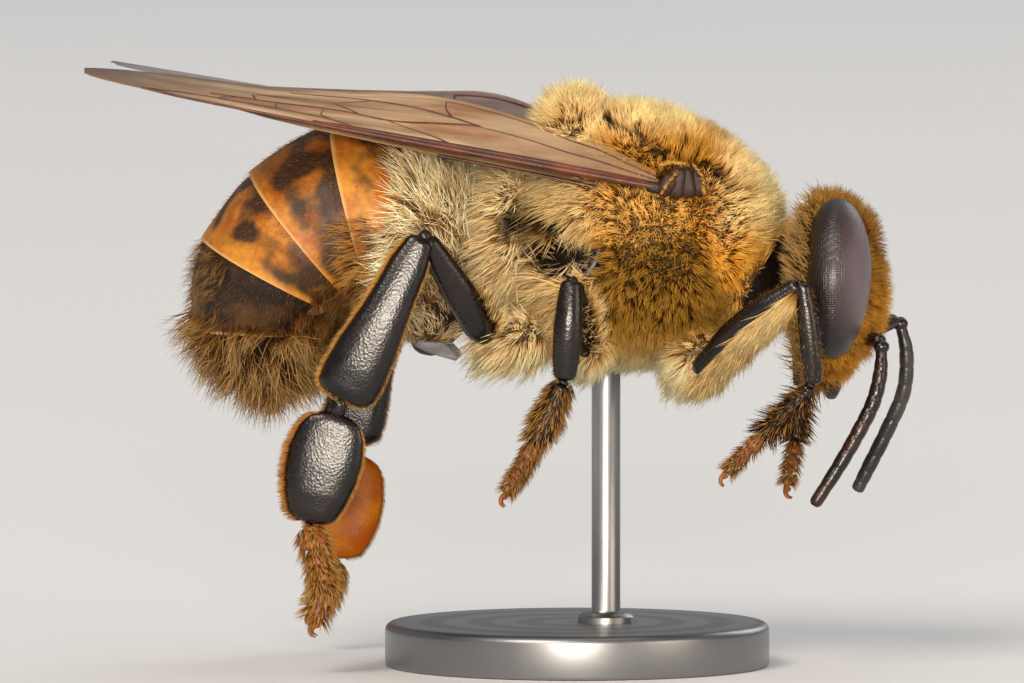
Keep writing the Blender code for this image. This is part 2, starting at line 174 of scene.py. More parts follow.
@dataclass
class Shell:
    """Vertices in mm and faces of one or more closed shapes."""

    points: np.ndarray = field(default_factory=lambda: np.zeros((0, 3)))
    faces: list = field(default_factory=list)

    def add(self, points: np.ndarray, faces: Sequence[Sequence[int]]) -> "Shell":
        """Adds another shape and returns this one."""
        start = len(self.points)
        self.points = np.vstack([self.points, points])
        self.faces += [tuple(v + start for v in face) for face in faces]
        return self

    def loft(self, rings: np.ndarray) -> "Shell":
        """Adds a closed skin over rings.

        Args:
            rings: an array of rings, each the same number of places.
        Returns:
            This shell.
        """
        rows, sides, _ = rings.shape
        points = np.vstack([rings.reshape(-1, 3), rings[0].mean(0), rings[-1].mean(0)])
        first, last = rows * sides, rows * sides + 1
        faces = []
        for i in range(sides):
            j = (i + 1) % sides
            faces.append((first, j, i))
            faces.append((last, (rows - 1) * sides + i, (rows - 1) * sides + j))
            for r in range(rows - 1):
                faces.append((r * sides + i, r * sides + j, (r + 1) * sides + j, (r + 1) * sides + i))
        corners = points[[f[0] for f in faces]], points[[f[1] for f in faces]], points[[f[2] for f in faces]]
        if np.einsum("ij,ij->", corners[0], np.cross(corners[1], corners[2])) < 0:
            faces = [f[::-1] for f in faces]
        return self.add(points, faces)

    def ball(self, centre: Sequence[float], radii: Sequence[float], turn: Optional[Matrix] = None,
             sides: int = 48, rows: int = 32) -> "Shell":
        """Adds an ellipsoid, turned by a matrix, and returns this shell."""
        up = np.linspace(0, math.pi, rows + 1)[1:-1]
        round_ = np.linspace(0, 2 * math.pi, sides, endpoint=False)
        rings = np.stack([np.outer(np.sin(up), np.cos(round_)), np.outer(np.sin(up), np.sin(round_)),
                          np.outer(np.cos(up), np.ones(sides))], -1) * np.asarray(radii)
        if turn is not None:
            rings = rings @ np.array(turn.to_3x3()).T
        return self.loft(rings + np.asarray(centre))

    def build(self, name: str, material: Optional[bpy.types.Material] = None) -> bpy.types.Object:
        """Makes the shell an object, in metres, smooth and in the scene."""
        mesh = bpy.data.meshes.new(name)
        mesh.from_pydata((self.points * MM).tolist(), [], self.faces)
        mesh.shade_smooth()
        if material:
            mesh.materials.append(material)
        made = bpy.data.objects.new(name, mesh)
        bpy.context.scene.collection.objects.link(made)
        return made


@dataclass
class Sweep:
    """A limb: a path with a width in its own plane and a thickness across it, rounded at both ends.

    widths and thicks are half sizes in mm, spread evenly along the path.
    """

    path: Sequence[Sequence[float]]
    widths: Sequence[float]
    thicks: Sequence[float]
    round_end: float = 0.6
    across: Sequence[float] = (0, 1, 0)
    power: float = 2.0  # 2 is a round section, more is a flatter one with round edges
    ripple: float = 0.0
    ripples: int = 0

    def frame_at(self, s: np.ndarray) -> tuple[np.ndarray, np.ndarray, np.ndarray, np.ndarray]:
        """Centre, along, flat and across vectors at shares s of the path."""
        centre = spline(self.path, s)
        along = unit(spline(self.path, np.minimum(s + 0.01, 1)) - spline(self.path, np.maximum(s - 0.01, 0)))
        flat = unit(np.cross(along, np.asarray(self.across, float)))
        return centre, along, flat, np.cross(flat, along)

    def length(self) -> float:
        """The path's length in mm."""
        line = spline(self.path, np.linspace(0, 1, 40))
        return float(np.linalg.norm(np.diff(line, axis=0), axis=1).sum())

    def sizes(self, s: np.ndarray) -> tuple[np.ndarray, np.ndarray]:
        """Half width and half thickness at shares s, with the ends rounded off."""
        width = np.interp(s, np.linspace(0, 1, len(self.widths)), self.widths)
        thick = np.interp(s, np.linspace(0, 1, len(self.thicks)), self.thicks)
        reach = self.round_end * width / self.length()
        edge = np.clip(np.minimum(s, 1 - s) / np.maximum(reach, 1e-6), 0, 1)
        end = np.sqrt(np.clip(1 - (1 - edge) ** 2, 0, 1))
        if self.ripples:
            phase = (s * self.ripples) % 1
            end = end * (1 + self.ripple * (np.clip(4 * phase * (1 - phase), 0, 1) ** 0.3 - 0.85))
        return width * end, thick * end

    def surface(self, s: np.ndarray, turn: np.ndarray) -> tuple[np.ndarray, np.ndarray, np.ndarray]:
        """Places on the surface, their outward normals and the way along the limb.

        Args:
            s: shares of the path.
            turn: angles round it, with 0 on the flat vector's side.
        Returns:
            Places, normals and along vectors.
        """
        centre, along, flat, across = self.frame_at(s)
        width, thick = self.sizes(s)
        c, k = np.cos(turn)[:, None], np.sin(turn)[:, None]
        out, over = (np.sign(v) * np.abs(v) ** (2 / self.power) for v in (c, k))
        place = centre + flat * out * width[:, None] + across * over * thick[:, None]
        c, k = (np.sign(v) * np.abs(v) ** (2 - 2 / self.power) for v in (c, k))
        normal = unit(flat * c * thick[:, None] + across * k * width[:, None])
        return place, normal, along

    def rings(self, rows: int = 26, sides: int = 20) -> np.ndarray:
        """The limb as rings, closer together near its ends."""
        s = 0.5 - 0.5 * np.cos(np.linspace(0.035, 1 - 0.035, rows) * math.pi)
        if self.ripples:
            s = np.linspace(0.004, 0.996, rows)
        turn = np.linspace(0, 2 * math.pi, sides, endpoint=False)
        grid_s, grid_t = np.repeat(s, sides), np.tile(turn, rows)
        return self.surface(grid_s, grid_t)[0].reshape(rows, sides, 3)


# ---------------------------------------------------------------------------------------------
# Finishes
# ---------------------------------------------------------------------------------------------

def new_material(name: str) -> tuple[bpy.types.Material, bpy.types.NodeTree, bpy.types.Node]:
    """A new node material, its tree and its Principled shader."""
    material = bpy.data.materials.new(name)
    material.use_nodes = True
    return material, material.node_tree, material.node_tree.nodes["Principled BSDF"]


def ramp(tree: bpy.types.NodeTree, value: bpy.types.NodeSocket, stops: Sequence[tuple[float, str]]) -> bpy.types.NodeSocket:
    """A colour ramp over a value; each stop is a position and a hex colour."""
    made = node(tree, "ShaderNodeValToRGB", None, Fac=value)
    elements = made.color_ramp.elements
    while len(elements) < len(stops):
        elements.new(0.5)
    for element, (position, code) in zip(elements, stops):
        element.position = position
        element.color = (*linear(code), 1)
    return made.outputs["Color"]


def noise(tree: bpy.types.NodeTree, size_mm: float, detail: float = 3, stretch: Sequence[float] = (1, 1, 1)) -> bpy.types.NodeSocket:
    """Noise on Object coordinates whose features are about size_mm across."""
    place = node(tree, "ShaderNodeTexCoord").outputs["Object"]
    mapped = node(tree, "ShaderNodeMapping", None, Vector=place, Scale=stretch).outputs[0]
    made = node(tree, "ShaderNodeTexNoise", None, Vector=mapped, Scale=1 / (size_mm * MM), Detail=detail)
    return made.outputs["Fac"]


def bumped(tree: bpy.types.NodeTree, shader: bpy.types.Node, height: bpy.types.NodeSocket,
           depth_mm: float, strength: float = 1.0) -> None:
    """Gives a shader a bump of depth_mm from a height of 0 to 1."""
    made = node(tree, "ShaderNodeBump", None, Height=height, Strength=strength, Distance=depth_mm * MM)
    tree.links.new(made.outputs["Normal"], shader.inputs["Normal"])


@dataclass(frozen=True)
class Fur:
    """Branched insect hair: dull, with painted shade that darkens each hair towards its root, so the coat looks deep.
    """

    name: str = "hair_plumose"
    roughness: float = 0.6
    clear_by: float = 0.8  # share of the hair's length at which its own colour is full

    def make(self) -> bpy.types.Material:
        """Builds the material; colour is the hair's own tint, turned brown-black towards its root by painted shade."""
        material, tree, shader = new_material(self.name)
        tint = node(tree, "ShaderNodeAttribute", {"attribute_name": "tint"}).outputs["Color"]
        along = node(tree, "ShaderNodeAttribute", {"attribute_name": "along"}).outputs["Fac"]
        depth = node(tree, "ShaderNodeMapRange", None, Value=along, From_Min=0.0, From_Max=self.clear_by).outputs[0]
        # painted shade: the ramp darkens each hair from tip to root, for the shade deep in the coat
        painted_root_shade = ramp(tree, depth, [(0.0, "#6E4622"), (0.4, "#CDAA7C"), (1.0, "#FFFFFF")])
        colour = node(tree, "ShaderNodeMix", {"data_type": "RGBA", "blend_type": "MULTIPLY"}, i0=1.0, i6=tint, i7=painted_root_shade)
        tree.links.new(colour.outputs[2], shader.inputs["Base Color"])
        shader.inputs["Roughness"].default_value = self.roughness
        shader.inputs["Specular IOR Level"].default_value = 0.16
        return material


@dataclass(frozen=True)
class Skin:
    """Soft dark cuticle under the coat: finely pitted, and marked in the coat's own colours."""

    name: str = "cuticle_under_coat"

    def make(self) -> bpy.types.Material:
        """Builds the material; its markings are the tint stored on the skin."""
        material, tree, shader = new_material(self.name)
        tint = node(tree, "ShaderNodeAttribute", {"attribute_name": "tint"}).outputs["Color"]
        grain = noise(tree, 0.12, 4)
        dark = ramp(tree, grain, [(0.3, "#080503"), (0.75, "#1E120A")])
        colour = node(tree, "ShaderNodeMix", {"data_type": "RGBA"}, i0=0.16, i6=dark, i7=tint)
        tree.links.new(colour.outputs[2], shader.inputs["Base Color"])
        shader.inputs["Roughness"].default_value = 0.6
        shader.inputs["Specular IOR Level"].default_value = 0.12
        bumped(tree, shader, noise(tree, 0.09, 4), 0.03)
        return material


@dataclass(frozen=True)
class DarkShell:
    """Tanned cuticle of legs and feelers: black-brown, satin, with fine pits that break the shine."""

    name: str
    deep: str = "#050302"
    light: str = "#1A0C06"
    roughness: float = 0.24
    pit_mm: float = 0.055
    shine: float = 0.5

    def make(self) -> bpy.types.Material:
        """Builds the material."""
        material, tree, shader = new_material(self.name)
        colour = ramp(tree, noise(tree, 0.8, 4), [(0.4, self.deep), (0.8, self.light)])
        tree.links.new(colour, shader.inputs["Base Color"])
        place = node(tree, "ShaderNodeTexCoord").outputs["Object"]
        pits = node(tree, "ShaderNodeTexVoronoi", {"feature": "F1"}, Vector=place, Scale=1 / (self.pit_mm * MM))
        rough = node(tree, "ShaderNodeMapRange", None, Value=noise(tree, 0.2, 3), To_Min=self.roughness - 0.06,
                     To_Max=self.roughness + 0.1)
        tree.links.new(rough.outputs[0], shader.inputs["Roughness"])
        shader.inputs["Specular IOR Level"].default_value = self.shine
        bumped(tree, shader, pits.outputs["Distance"], 0.0036)
        return material


@dataclass(frozen=True)
class AmberShell:
    """Thin amber cuticle of the abdomen: satin, with smoky clouds that thin out before a pale rim."""

    name: str
    amber: str = "#985210"
    pale: str = "#C4852E"
    smoke: str = "#231A14"
    edge_mm: float = 0.6

    def make(self) -> bpy.types.Material:
        """Builds the material; the piece's smoke and rim attributes say where its clouds and rim are."""
        material, tree, shader = new_material(self.name)
        streaks = node(tree, "ShaderNodeMath", {"operation": "MULTIPLY_ADD"}, i0=noise(tree, 0.16, 5, (1, 0.4, 1)), i1=0.55,
                       i2=noise(tree, 1.2, 4))
        base = ramp(tree, streaks.outputs[0], [(0.62, self.amber), (0.95, self.pale)])
        smoke = node(tree, "ShaderNodeAttribute", {"attribute_name": "smoke"}).outputs["Fac"]
        ragged = node(tree, "ShaderNodeMapRange", None, Value=noise(tree, self.edge_mm, 6), From_Min=0.25, From_Max=0.75,
                      To_Min=-0.45, To_Max=0.45)
        cloud = node(tree, "ShaderNodeMath", {"operation": "ADD"}, i0=smoke, i1=ragged.outputs[0])
        amount = node(tree, "ShaderNodeMapRange", {"interpolation_type": "SMOOTHSTEP"}, Value=cloud.outputs[0],
                      From_Min=0.2, From_Max=0.95, To_Max=0.95)
        clouded = node(tree, "ShaderNodeMix", {"data_type": "RGBA"}, i0=amount.outputs[0], i6=base)
        clouded.inputs[7].default_value = (*linear(self.smoke), 1)
        rim = node(tree, "ShaderNodeAttribute", {"attribute_name": "rim"}).outputs["Fac"]
        edged = node(tree, "ShaderNodeMix", {"data_type": "RGBA"}, i0=rim, i6=clouded.outputs[2])
        edged.inputs[7].default_value = (*linear("#C79A5C"), 1)
        tree.links.new(edged.outputs[2], shader.inputs["Base Color"])
        shader.inputs["Specular IOR Level"].default_value = 0.3
        shader.inputs["Subsurface Weight"].default_value = 0.08
        shader.inputs["Subsurface Radius"].default_value = (0.4, 0.2, 0.08)
        shader.inputs["Subsurface Scale"].default_value = 0.3 * MM
        rough = node(tree, "ShaderNodeMapRange", None, Value=noise(tree, 0.3, 3), To_Min=0.38, To_Max=0.52)
        tree.links.new(rough.outputs[0], shader.inputs["Roughness"])
        bumped(tree, shader, noise(tree, 0.06, 3, (1, 0.35, 1)), 0.006)
        return material


@dataclass(frozen=True)
class EyeLens:
    """Compound eye: plum-brown, thousands of lenses in close rows under one soft gloss, with painted shade in its
    colour.
    """

    name: str = "eye_lenses"
    lens_mm: float = 0.05  # real ones are 0.04 mm: drawn a little coarser so that they show

    def make(self) -> bpy.types.Material:
        """Builds the material."""
        material, tree, shader = new_material(self.name)
        place = node(tree, "ShaderNodeTexCoord").outputs["Object"]
        cells = node(tree, "ShaderNodeTexVoronoi", {"feature": "DISTANCE_TO_EDGE"}, Vector=place,
                     Scale=1 / (self.lens_mm * MM), Randomness=0.25)
        lens = node(tree, "ShaderNodeMapRange", None, Value=cells.outputs["Distance"], From_Max=0.35).outputs[0]
        # painted shade: the stored value darkens the eye's colour towards its back and foot and lightens it where it
        # faces out
        shade = node(tree, "ShaderNodeAttribute", {"attribute_name": "shade"}).outputs["Fac"]
        colour = ramp(tree, shade, [(0.0, "#0C0606"), (0.35, "#1E1213"), (0.7, "#46363A"), (1.0, "#6A5A60")])
        dim = node(tree, "ShaderNodeMapRange", None, Value=lens, To_Min=0.62, To_Max=1.0).outputs[0]
        grey = node(tree, "ShaderNodeCombineColor", None, Red=dim, Green=dim, Blue=dim).outputs[0]
        cut = node(tree, "ShaderNodeMix", {"data_type": "RGBA", "blend_type": "MULTIPLY"}, i0=1.0, i6=colour, i7=grey)
        tree.links.new(cut.outputs[2], shader.inputs["Base Color"])
        shader.inputs["Roughness"].default_value = 0.36
        shader.inputs["Coat Weight"].default_value = 0.2
        shader.inputs["Coat Roughness"].default_value = 0.3
        bumped(tree, shader, lens, 0.006)
        return material


@dataclass(frozen=True)
class Membrane:
    """Dry wing skin: thin, tan and see-through, finely crinkled, with an oil-film colour."""

    name: str = "wing_membrane"
    dull: str = "#9C7048"
    clear: str = "#D6B88E"
    alpha: float = 0.8
    film_nm: float = 380.0
    film_ior: float = 1.4
    shine: float = 0.4

    def make(self) -> bpy.types.Material:
        """Builds the material."""
        material, tree, shader = new_material(self.name)
        colour = ramp(tree, noise(tree, 0.7, 6, (0.25, 1, 1)), [(0.34, self.dull), (0.64, self.clear)])
        tip = node(tree, "ShaderNodeAttribute", {"attribute_name": "tip"}).outputs["Fac"]
        browned = node(tree, "ShaderNodeMix", {"data_type": "RGBA"}, i0=tip, i6=colour)
        browned.inputs[7].default_value = (*linear("#5C3C1E"), 1)
        tree.links.new(browned.outputs[2], shader.inputs["Base Color"])
        shader.inputs["Roughness"].default_value = 0.4
        shader.inputs["Alpha"].default_value = self.alpha
        shader.inputs["Specular IOR Level"].default_value = self.shine
        shader.inputs["Thin Film Thickness"].default_value = self.film_nm
        shader.inputs["Thin Film IOR"].default_value = self.film_ior
        bumped(tree, shader, noise(tree, 0.22, 5, (0.2, 1, 1)), 0.035)
        return material


@dataclass(frozen=True)
class BrushedSteel:
    """Turned and brushed stainless steel: grey, with fine rings round the base that catch light."""

    name: str = "brushed_stainless_steel"

    def make(self) -> bpy.types.Material:
        """Builds the material."""
        material, tree, shader = new_material(self.name)
        shader.inputs["Metallic"].default_value = 1.0
        place = node(tree, "ShaderNodeTexCoord").outputs["Object"]
        wave = node(tree, "ShaderNodeTexWave", {"wave_type": "RINGS", "rings_direction": "Z"}, Vector=place,
                    Scale=1 / (0.16 * MM) / 20, Distortion=0.6, Detail=3.0)
        colour = ramp(tree, wave.outputs["Fac"], [(0.2, "#8C8C8E"), (0.8, "#A6A6A8")])
        tree.links.new(colour, shader.inputs["Base Color"])
        rough = node(tree, "ShaderNodeMapRange", None, Value=noise(tree, 0.5, 4), To_Min=0.3, To_Max=0.42)
        tree.links.new(rough.outputs[0], shader.inputs["Roughness"])
        bumped(tree, shader, wave.outputs["Fac"], 0.004)
        return material


@dataclass(frozen=True)
class StudioFloor:
    """Matt painted board: pale and even, with the least grain so that shadows stay soft."""

    name: str = "pale_board"

    def make(self) -> bpy.types.Material:
        """Builds the material."""
        material, tree, shader = new_material(self.name)
        colour = ramp(tree, noise(tree, 90.0, 1), [(0.3, "#E4E5E7"), (0.7, "#E6E7E9")])
        tree.links.new(colour, shader.inputs["Base Color"])
        shader.inputs["Roughness"].default_value = 0.85
        return material


# ---------------------------------------------------------------------------------------------
# The coat
# ---------------------------------------------------------------------------------------------

@dataclass
class Roots:
    """Where hairs stand: places in mm, with each hair's normal, lie, length, colour and map place."""

    at: np.ndarray
    normal: np.ndarray
    lie: np.ndarray
    length: np.ndarray
    tint: np.ndarray
    uv: np.ndarray

    def part(self, keep: np.ndarray) -> "Roots":
        """The roots that keep picks."""
        return Roots(*(getattr(self, name)[keep] for name in ("at", "normal", "lie", "length", "tint", "uv")))

    def joined(self, other: "Roots") -> "Roots":
        """These roots and another lot."""
        return Roots(*(np.concatenate([getattr(self, name), getattr(other, name)])
                       for name in ("at", "normal", "lie", "length", "tint", "uv")))


def combed(roots: Roots, seed: int, clump: float, spread: float, per_tuft: int) -> tuple[np.ndarray, np.ndarray, np.ndarray]:
    """Each hair's direction: along its lie, scattered, and drawn towards its tuft's tip.

    Args:
        roots: the hairs.
        seed: for the scatter.
        clump: how far tips draw together, from 0 to 1.
        spread: how far each hair strays.
        per_tuft: about how many hairs draw together.
    Returns:
        Directions, the ways the hairs bend, and each hair's share of light: less at a tuft's edge.
    """
    rng = np.random.default_rng(seed)
    stray = np.column_stack([wobble(roots.at, 0.9, seed + k) for k in (1, 2, 3)])
    way = unit(roots.normal + roots.lie + stray * spread + rng.normal(size=roots.at.shape) * spread * 0.6)
    tips = roots.at + way * roots.length[:, None]
    leaders = rng.choice(len(tips), max(2, len(tips) // per_tuft), replace=False)
    tree = KDTree(len(leaders))
    for number, leader in enumerate(leaders):
        tree.insert(roots.at[leader], number)
    tree.balance()
    found = [tree.find(place) for place in roots.at]
    near = leaders[[one[1] for one in found]]
    away = np.array([one[2] for one in found])
    tips = tips + (tips[near] - tips) * (clump * rng.uniform(0.6, 1.0, len(tips)))[:, None]
    way = unit(tips - roots.at)
    bend = roots.lie + rng.normal(size=roots.at.shape) * 0.3 - roots.normal * 0.2
    bend = bend - way * np.einsum("ij,ij->i", bend, way)[:, None]
    light = 1.12 - 0.4 * np.clip(away / (np.median(away) * 2.2 + 1e-9), 0, 1)
    return way, unit(bend), light


def hair_mesh(kind: Hair) -> bpy.types.Object:
    """One hair, 1 long, rising along +Z and bending to +X, with its map patch and its share along."""
    radius, bend, rows = kind.value
    corners = [(math.cos(a), math.sin(a)) for a in (0, 2 * math.pi / 3, 4 * math.pi / 3)]
    points, along, patch = [], [], []
    for share, size in ((0.0, 1.0), (0.5, 0.8))[:rows]:
        for number, (x, y) in enumerate(corners):
            points.append((bend * share ** 2 + x * radius * size, y * radius * size, share))
            along.append(share)
            patch.append(((number - 1) * 0.5, share - 0.5, 0))
    points.append((bend, 0, 1))
    along.append(1.0)
    patch.append((0, 0.5, 0))
    faces = [(2, 1, 0)]
    for i in range(3):
        j = (i + 1) % 3
        faces += [(i + 3 * row, j + 3 * row, j + 3 * row + 3, i + 3 * row + 3) for row in range(rows - 1)]
        faces.append((i + 3 * rows - 3, j + 3 * rows - 3, 3 * rows))
    mesh = bpy.data.meshes.new("one_" + kind.name.lower())
    mesh.from_pydata(points, [], faces)
    mesh.attributes.new("along", "FLOAT", "POINT").data.foreach_set("value", along)
    mesh.attributes.new("patch", "FLOAT_VECTOR", "POINT").data.foreach_set("vector", np.ravel(patch))
    mesh.shade_smooth()
    return bpy.data.objects.new(mesh.name, mesh)


def coat_tree() -> bpy.types.GeometryNodeTree:
    """Geometry Nodes that set a hair on every point and give each its patch on OFBake.

    Returns:
        The tree. Its inputs are the points, the hair's object, the patch's width and the material.
    """
    tree = bpy.data.node_groups.new("hairs_on_roots", "GeometryNodeTree")
    face = tree.interface
    face.new_socket("Geometry", in_out="INPUT", socket_type="NodeSocketGeometry")
    face.new_socket("Hair", in_out="INPUT", socket_type="NodeSocketObject")
    face.new_socket("Patch Width", in_out="INPUT", socket_type="NodeSocketFloat")
    face.new_socket("Material", in_out="INPUT", socket_type="NodeSocketMaterial")
    face.new_socket("Geometry", in_out="OUTPUT", socket_type="NodeSocketGeometry")
    given = node(tree, "NodeGroupInput").outputs
    read = {}
    for name, kind in (("way", "FLOAT_VECTOR"), ("bend", "FLOAT_VECTOR"), ("reach", "FLOAT"),
                       ("root_uv", "FLOAT_VECTOR"), ("patch", "FLOAT_VECTOR")):
        read[name] = node(tree, "GeometryNodeInputNamedAttribute", {"data_type": kind}, Name=name).outputs["Attribute"]
    hair = node(tree, "GeometryNodeObjectInfo", None, Object=given["Hair"]).outputs["Geometry"]
    turn = node(tree, "FunctionNodeAxesToRotation", {"primary_axis": "Z", "secondary_axis": "X"},
                i0=read["way"], i1=read["bend"])
    placed = node(tree, "GeometryNodeInstanceOnPoints", None, Points=given["Geometry"], Instance=hair,
                  Rotation=turn.outputs[0], Scale=read["reach"])
    solid = node(tree, "GeometryNodeRealizeInstances", None, Geometry=placed.outputs[0])
    offset = node(tree, "ShaderNodeVectorMath", {"operation": "SCALE"}, i0=read["patch"], Scale=given["Patch Width"])
    spot = node(tree, "ShaderNodeVectorMath", {"operation": "ADD"}, i0=read["root_uv"], i1=offset.outputs[0])
    mapped = node(tree, "GeometryNodeStoreNamedAttribute", {"data_type": "FLOAT2", "domain": "CORNER"},
                  Geometry=solid.outputs[0], Name="OFBake", Value=spot.outputs[0])
    dressed = node(tree, "GeometryNodeSetMaterial", None, Geometry=mapped.outputs[0], Material=given["Material"])
    node(tree, "NodeGroupOutput", None, Geometry=dressed.outputs[0])
    return tree


@dataclass
class Barber:
    """Grows coats: it holds the hair shapes, the tree and the finish they share."""

    material: bpy.types.Material
    tree: bpy.types.GeometryNodeTree = field(default_factory=coat_tree)
    hairs: dict = field(default_factory=lambda: {kind: hair_mesh(kind) for kind in Hair})

    def grow(self, name: str, roots: Roots, kind: Hair, seed: int, clump: float = 0.45,
             spread: float = 0.22, per_tuft: int = 12) -> bpy.types.Object:
        """Grows one coat piece.

        Args:
            name: the piece's name.
            roots: where its hairs stand.
            kind: the hair's shape.
            seed: for the scatter.
            clump: how far tips draw together in tufts.
            spread: how far each hair strays from the lie.
            per_tuft: about how many hairs draw together.
        Returns:
            The piece, a plain mesh.
        """
        way, bend, light = combed(roots, seed, clump, spread, per_tuft)
        # painted shade: each hair's colour is darkened by its share of light, most at a tuft's edge
        tint = np.clip(roots.tint * light[:, None], 0, 1)
        mesh = bpy.data.meshes.new(name + "_roots")
        mesh.from_pydata((roots.at * MM).tolist(), [], [])
        uv = np.column_stack([np.clip(roots.uv, 0.004, 0.996), np.zeros(len(roots.uv))])
        for label, kind_of, values, slot in (("way", "FLOAT_VECTOR", way, "vector"), ("bend", "FLOAT_VECTOR", bend, "vector"),
                                             ("reach", "FLOAT", roots.length * MM, "value"), ("root_uv", "FLOAT_VECTOR", uv, "vector"),
                                             ("tint", "FLOAT_COLOR", np.column_stack([tint, np.ones(len(uv))]), "color")):
            mesh.attributes.new(label, kind_of, "POINT").data.foreach_set(slot, np.ravel(values))
        carrier = bpy.data.objects.new(name + "_roots", mesh)
        bpy.context.scene.collection.objects.link(carrier)
        modifier = carrier.modifiers.new("hairs", "NODES")
        modifier.node_group = self.tree
        for label, value in (("Hair", self.hairs[kind]), ("Patch Width", PATCH), ("Material", self.material)):
            modifier[self.tree.interface.items_tree[label].identifier] = value
        graph = bpy.context.evaluated_depsgraph_get()
        grown = bpy.data.meshes.new_from_object(carrier.evaluated_get(graph))
        bpy.data.objects.remove(carrier)
        for spare in ("way", "bend", "reach", "root_uv", "patch"):
            if spare in grown.attributes:
                grown.attributes.remove(grown.attributes[spare])
        grown.name = name
        piece = bpy.data.objects.new(name, grown)
        bpy.context.scene.collection.objects.link(piece)
        LOG.info("%s: %d hairs, %d faces", name, len(uv), len(grown.polygons))
        return piece


# ---------------------------------------------------------------------------------------------
# Body
# ---------------------------------------------------------------------------------------------

PALE, CREAM, STRAW = (np.array(linear(code)) for code in ("#FFEEC2", "#FFE2A2", "#F6CC74"))
GOLD, OCHRE, OLIVE = (np.array(linear(code)) for code in ("#ECAF42", "#CA9638", "#A07C2C"))
BROWN = np.array(linear("#946A38"))


def blob(p: np.ndarray, centre: tuple[float, float], radii: tuple[float, float]) -> np.ndarray:
    """1 inside an ellipse seen from the side (x and z) and 0 well outside it."""
    away = np.hypot((p[:, 0] - centre[0]) / radii[0], (p[:, 2] - centre[1]) / radii[1])
    return smoothstep(1.2, 0.75, away)


def near_line(p: np.ndarray, line: Sequence[tuple[float, float]], width: float) -> np.ndarray:
    """1 on a line seen from the side (x and z) and 0 beyond its width."""
    flat = p[:, [0, 2]]
    away = np.full(len(p), 1e9)
    for start, end in zip(np.array(line), np.array(line)[1:]):
        share = np.clip((flat - start) @ (end - start) / ((end - start) @ (end - start)), 0, 1)
        away = np.minimum(away, np.linalg.norm(flat - start - np.outer(share, end - start), axis=1))
    return smoothstep(width, width * 0.5, away)


def ellipse_ring(centre: np.ndarray, across: np.ndarray, up: np.ndarray, half_width: float, half_up: float,
                 half_down: float, sides: int, power: float = 2.2) -> np.ndarray:
    """A ring of places about a centre; its upper and lower halves may differ."""
    turn = np.linspace(0, 2 * math.pi, sides, endpoint=False)
    c, s = np.cos(turn), np.sin(turn)
    c = np.sign(c) * np.abs(c) ** (2 / power)
    s = np.sign(s) * np.abs(s) ** (2 / power)
    tall = np.where(s > 0, half_up, half_down)
    return centre + np.outer(c * half_width, across) + np.outer(s * tall, up)


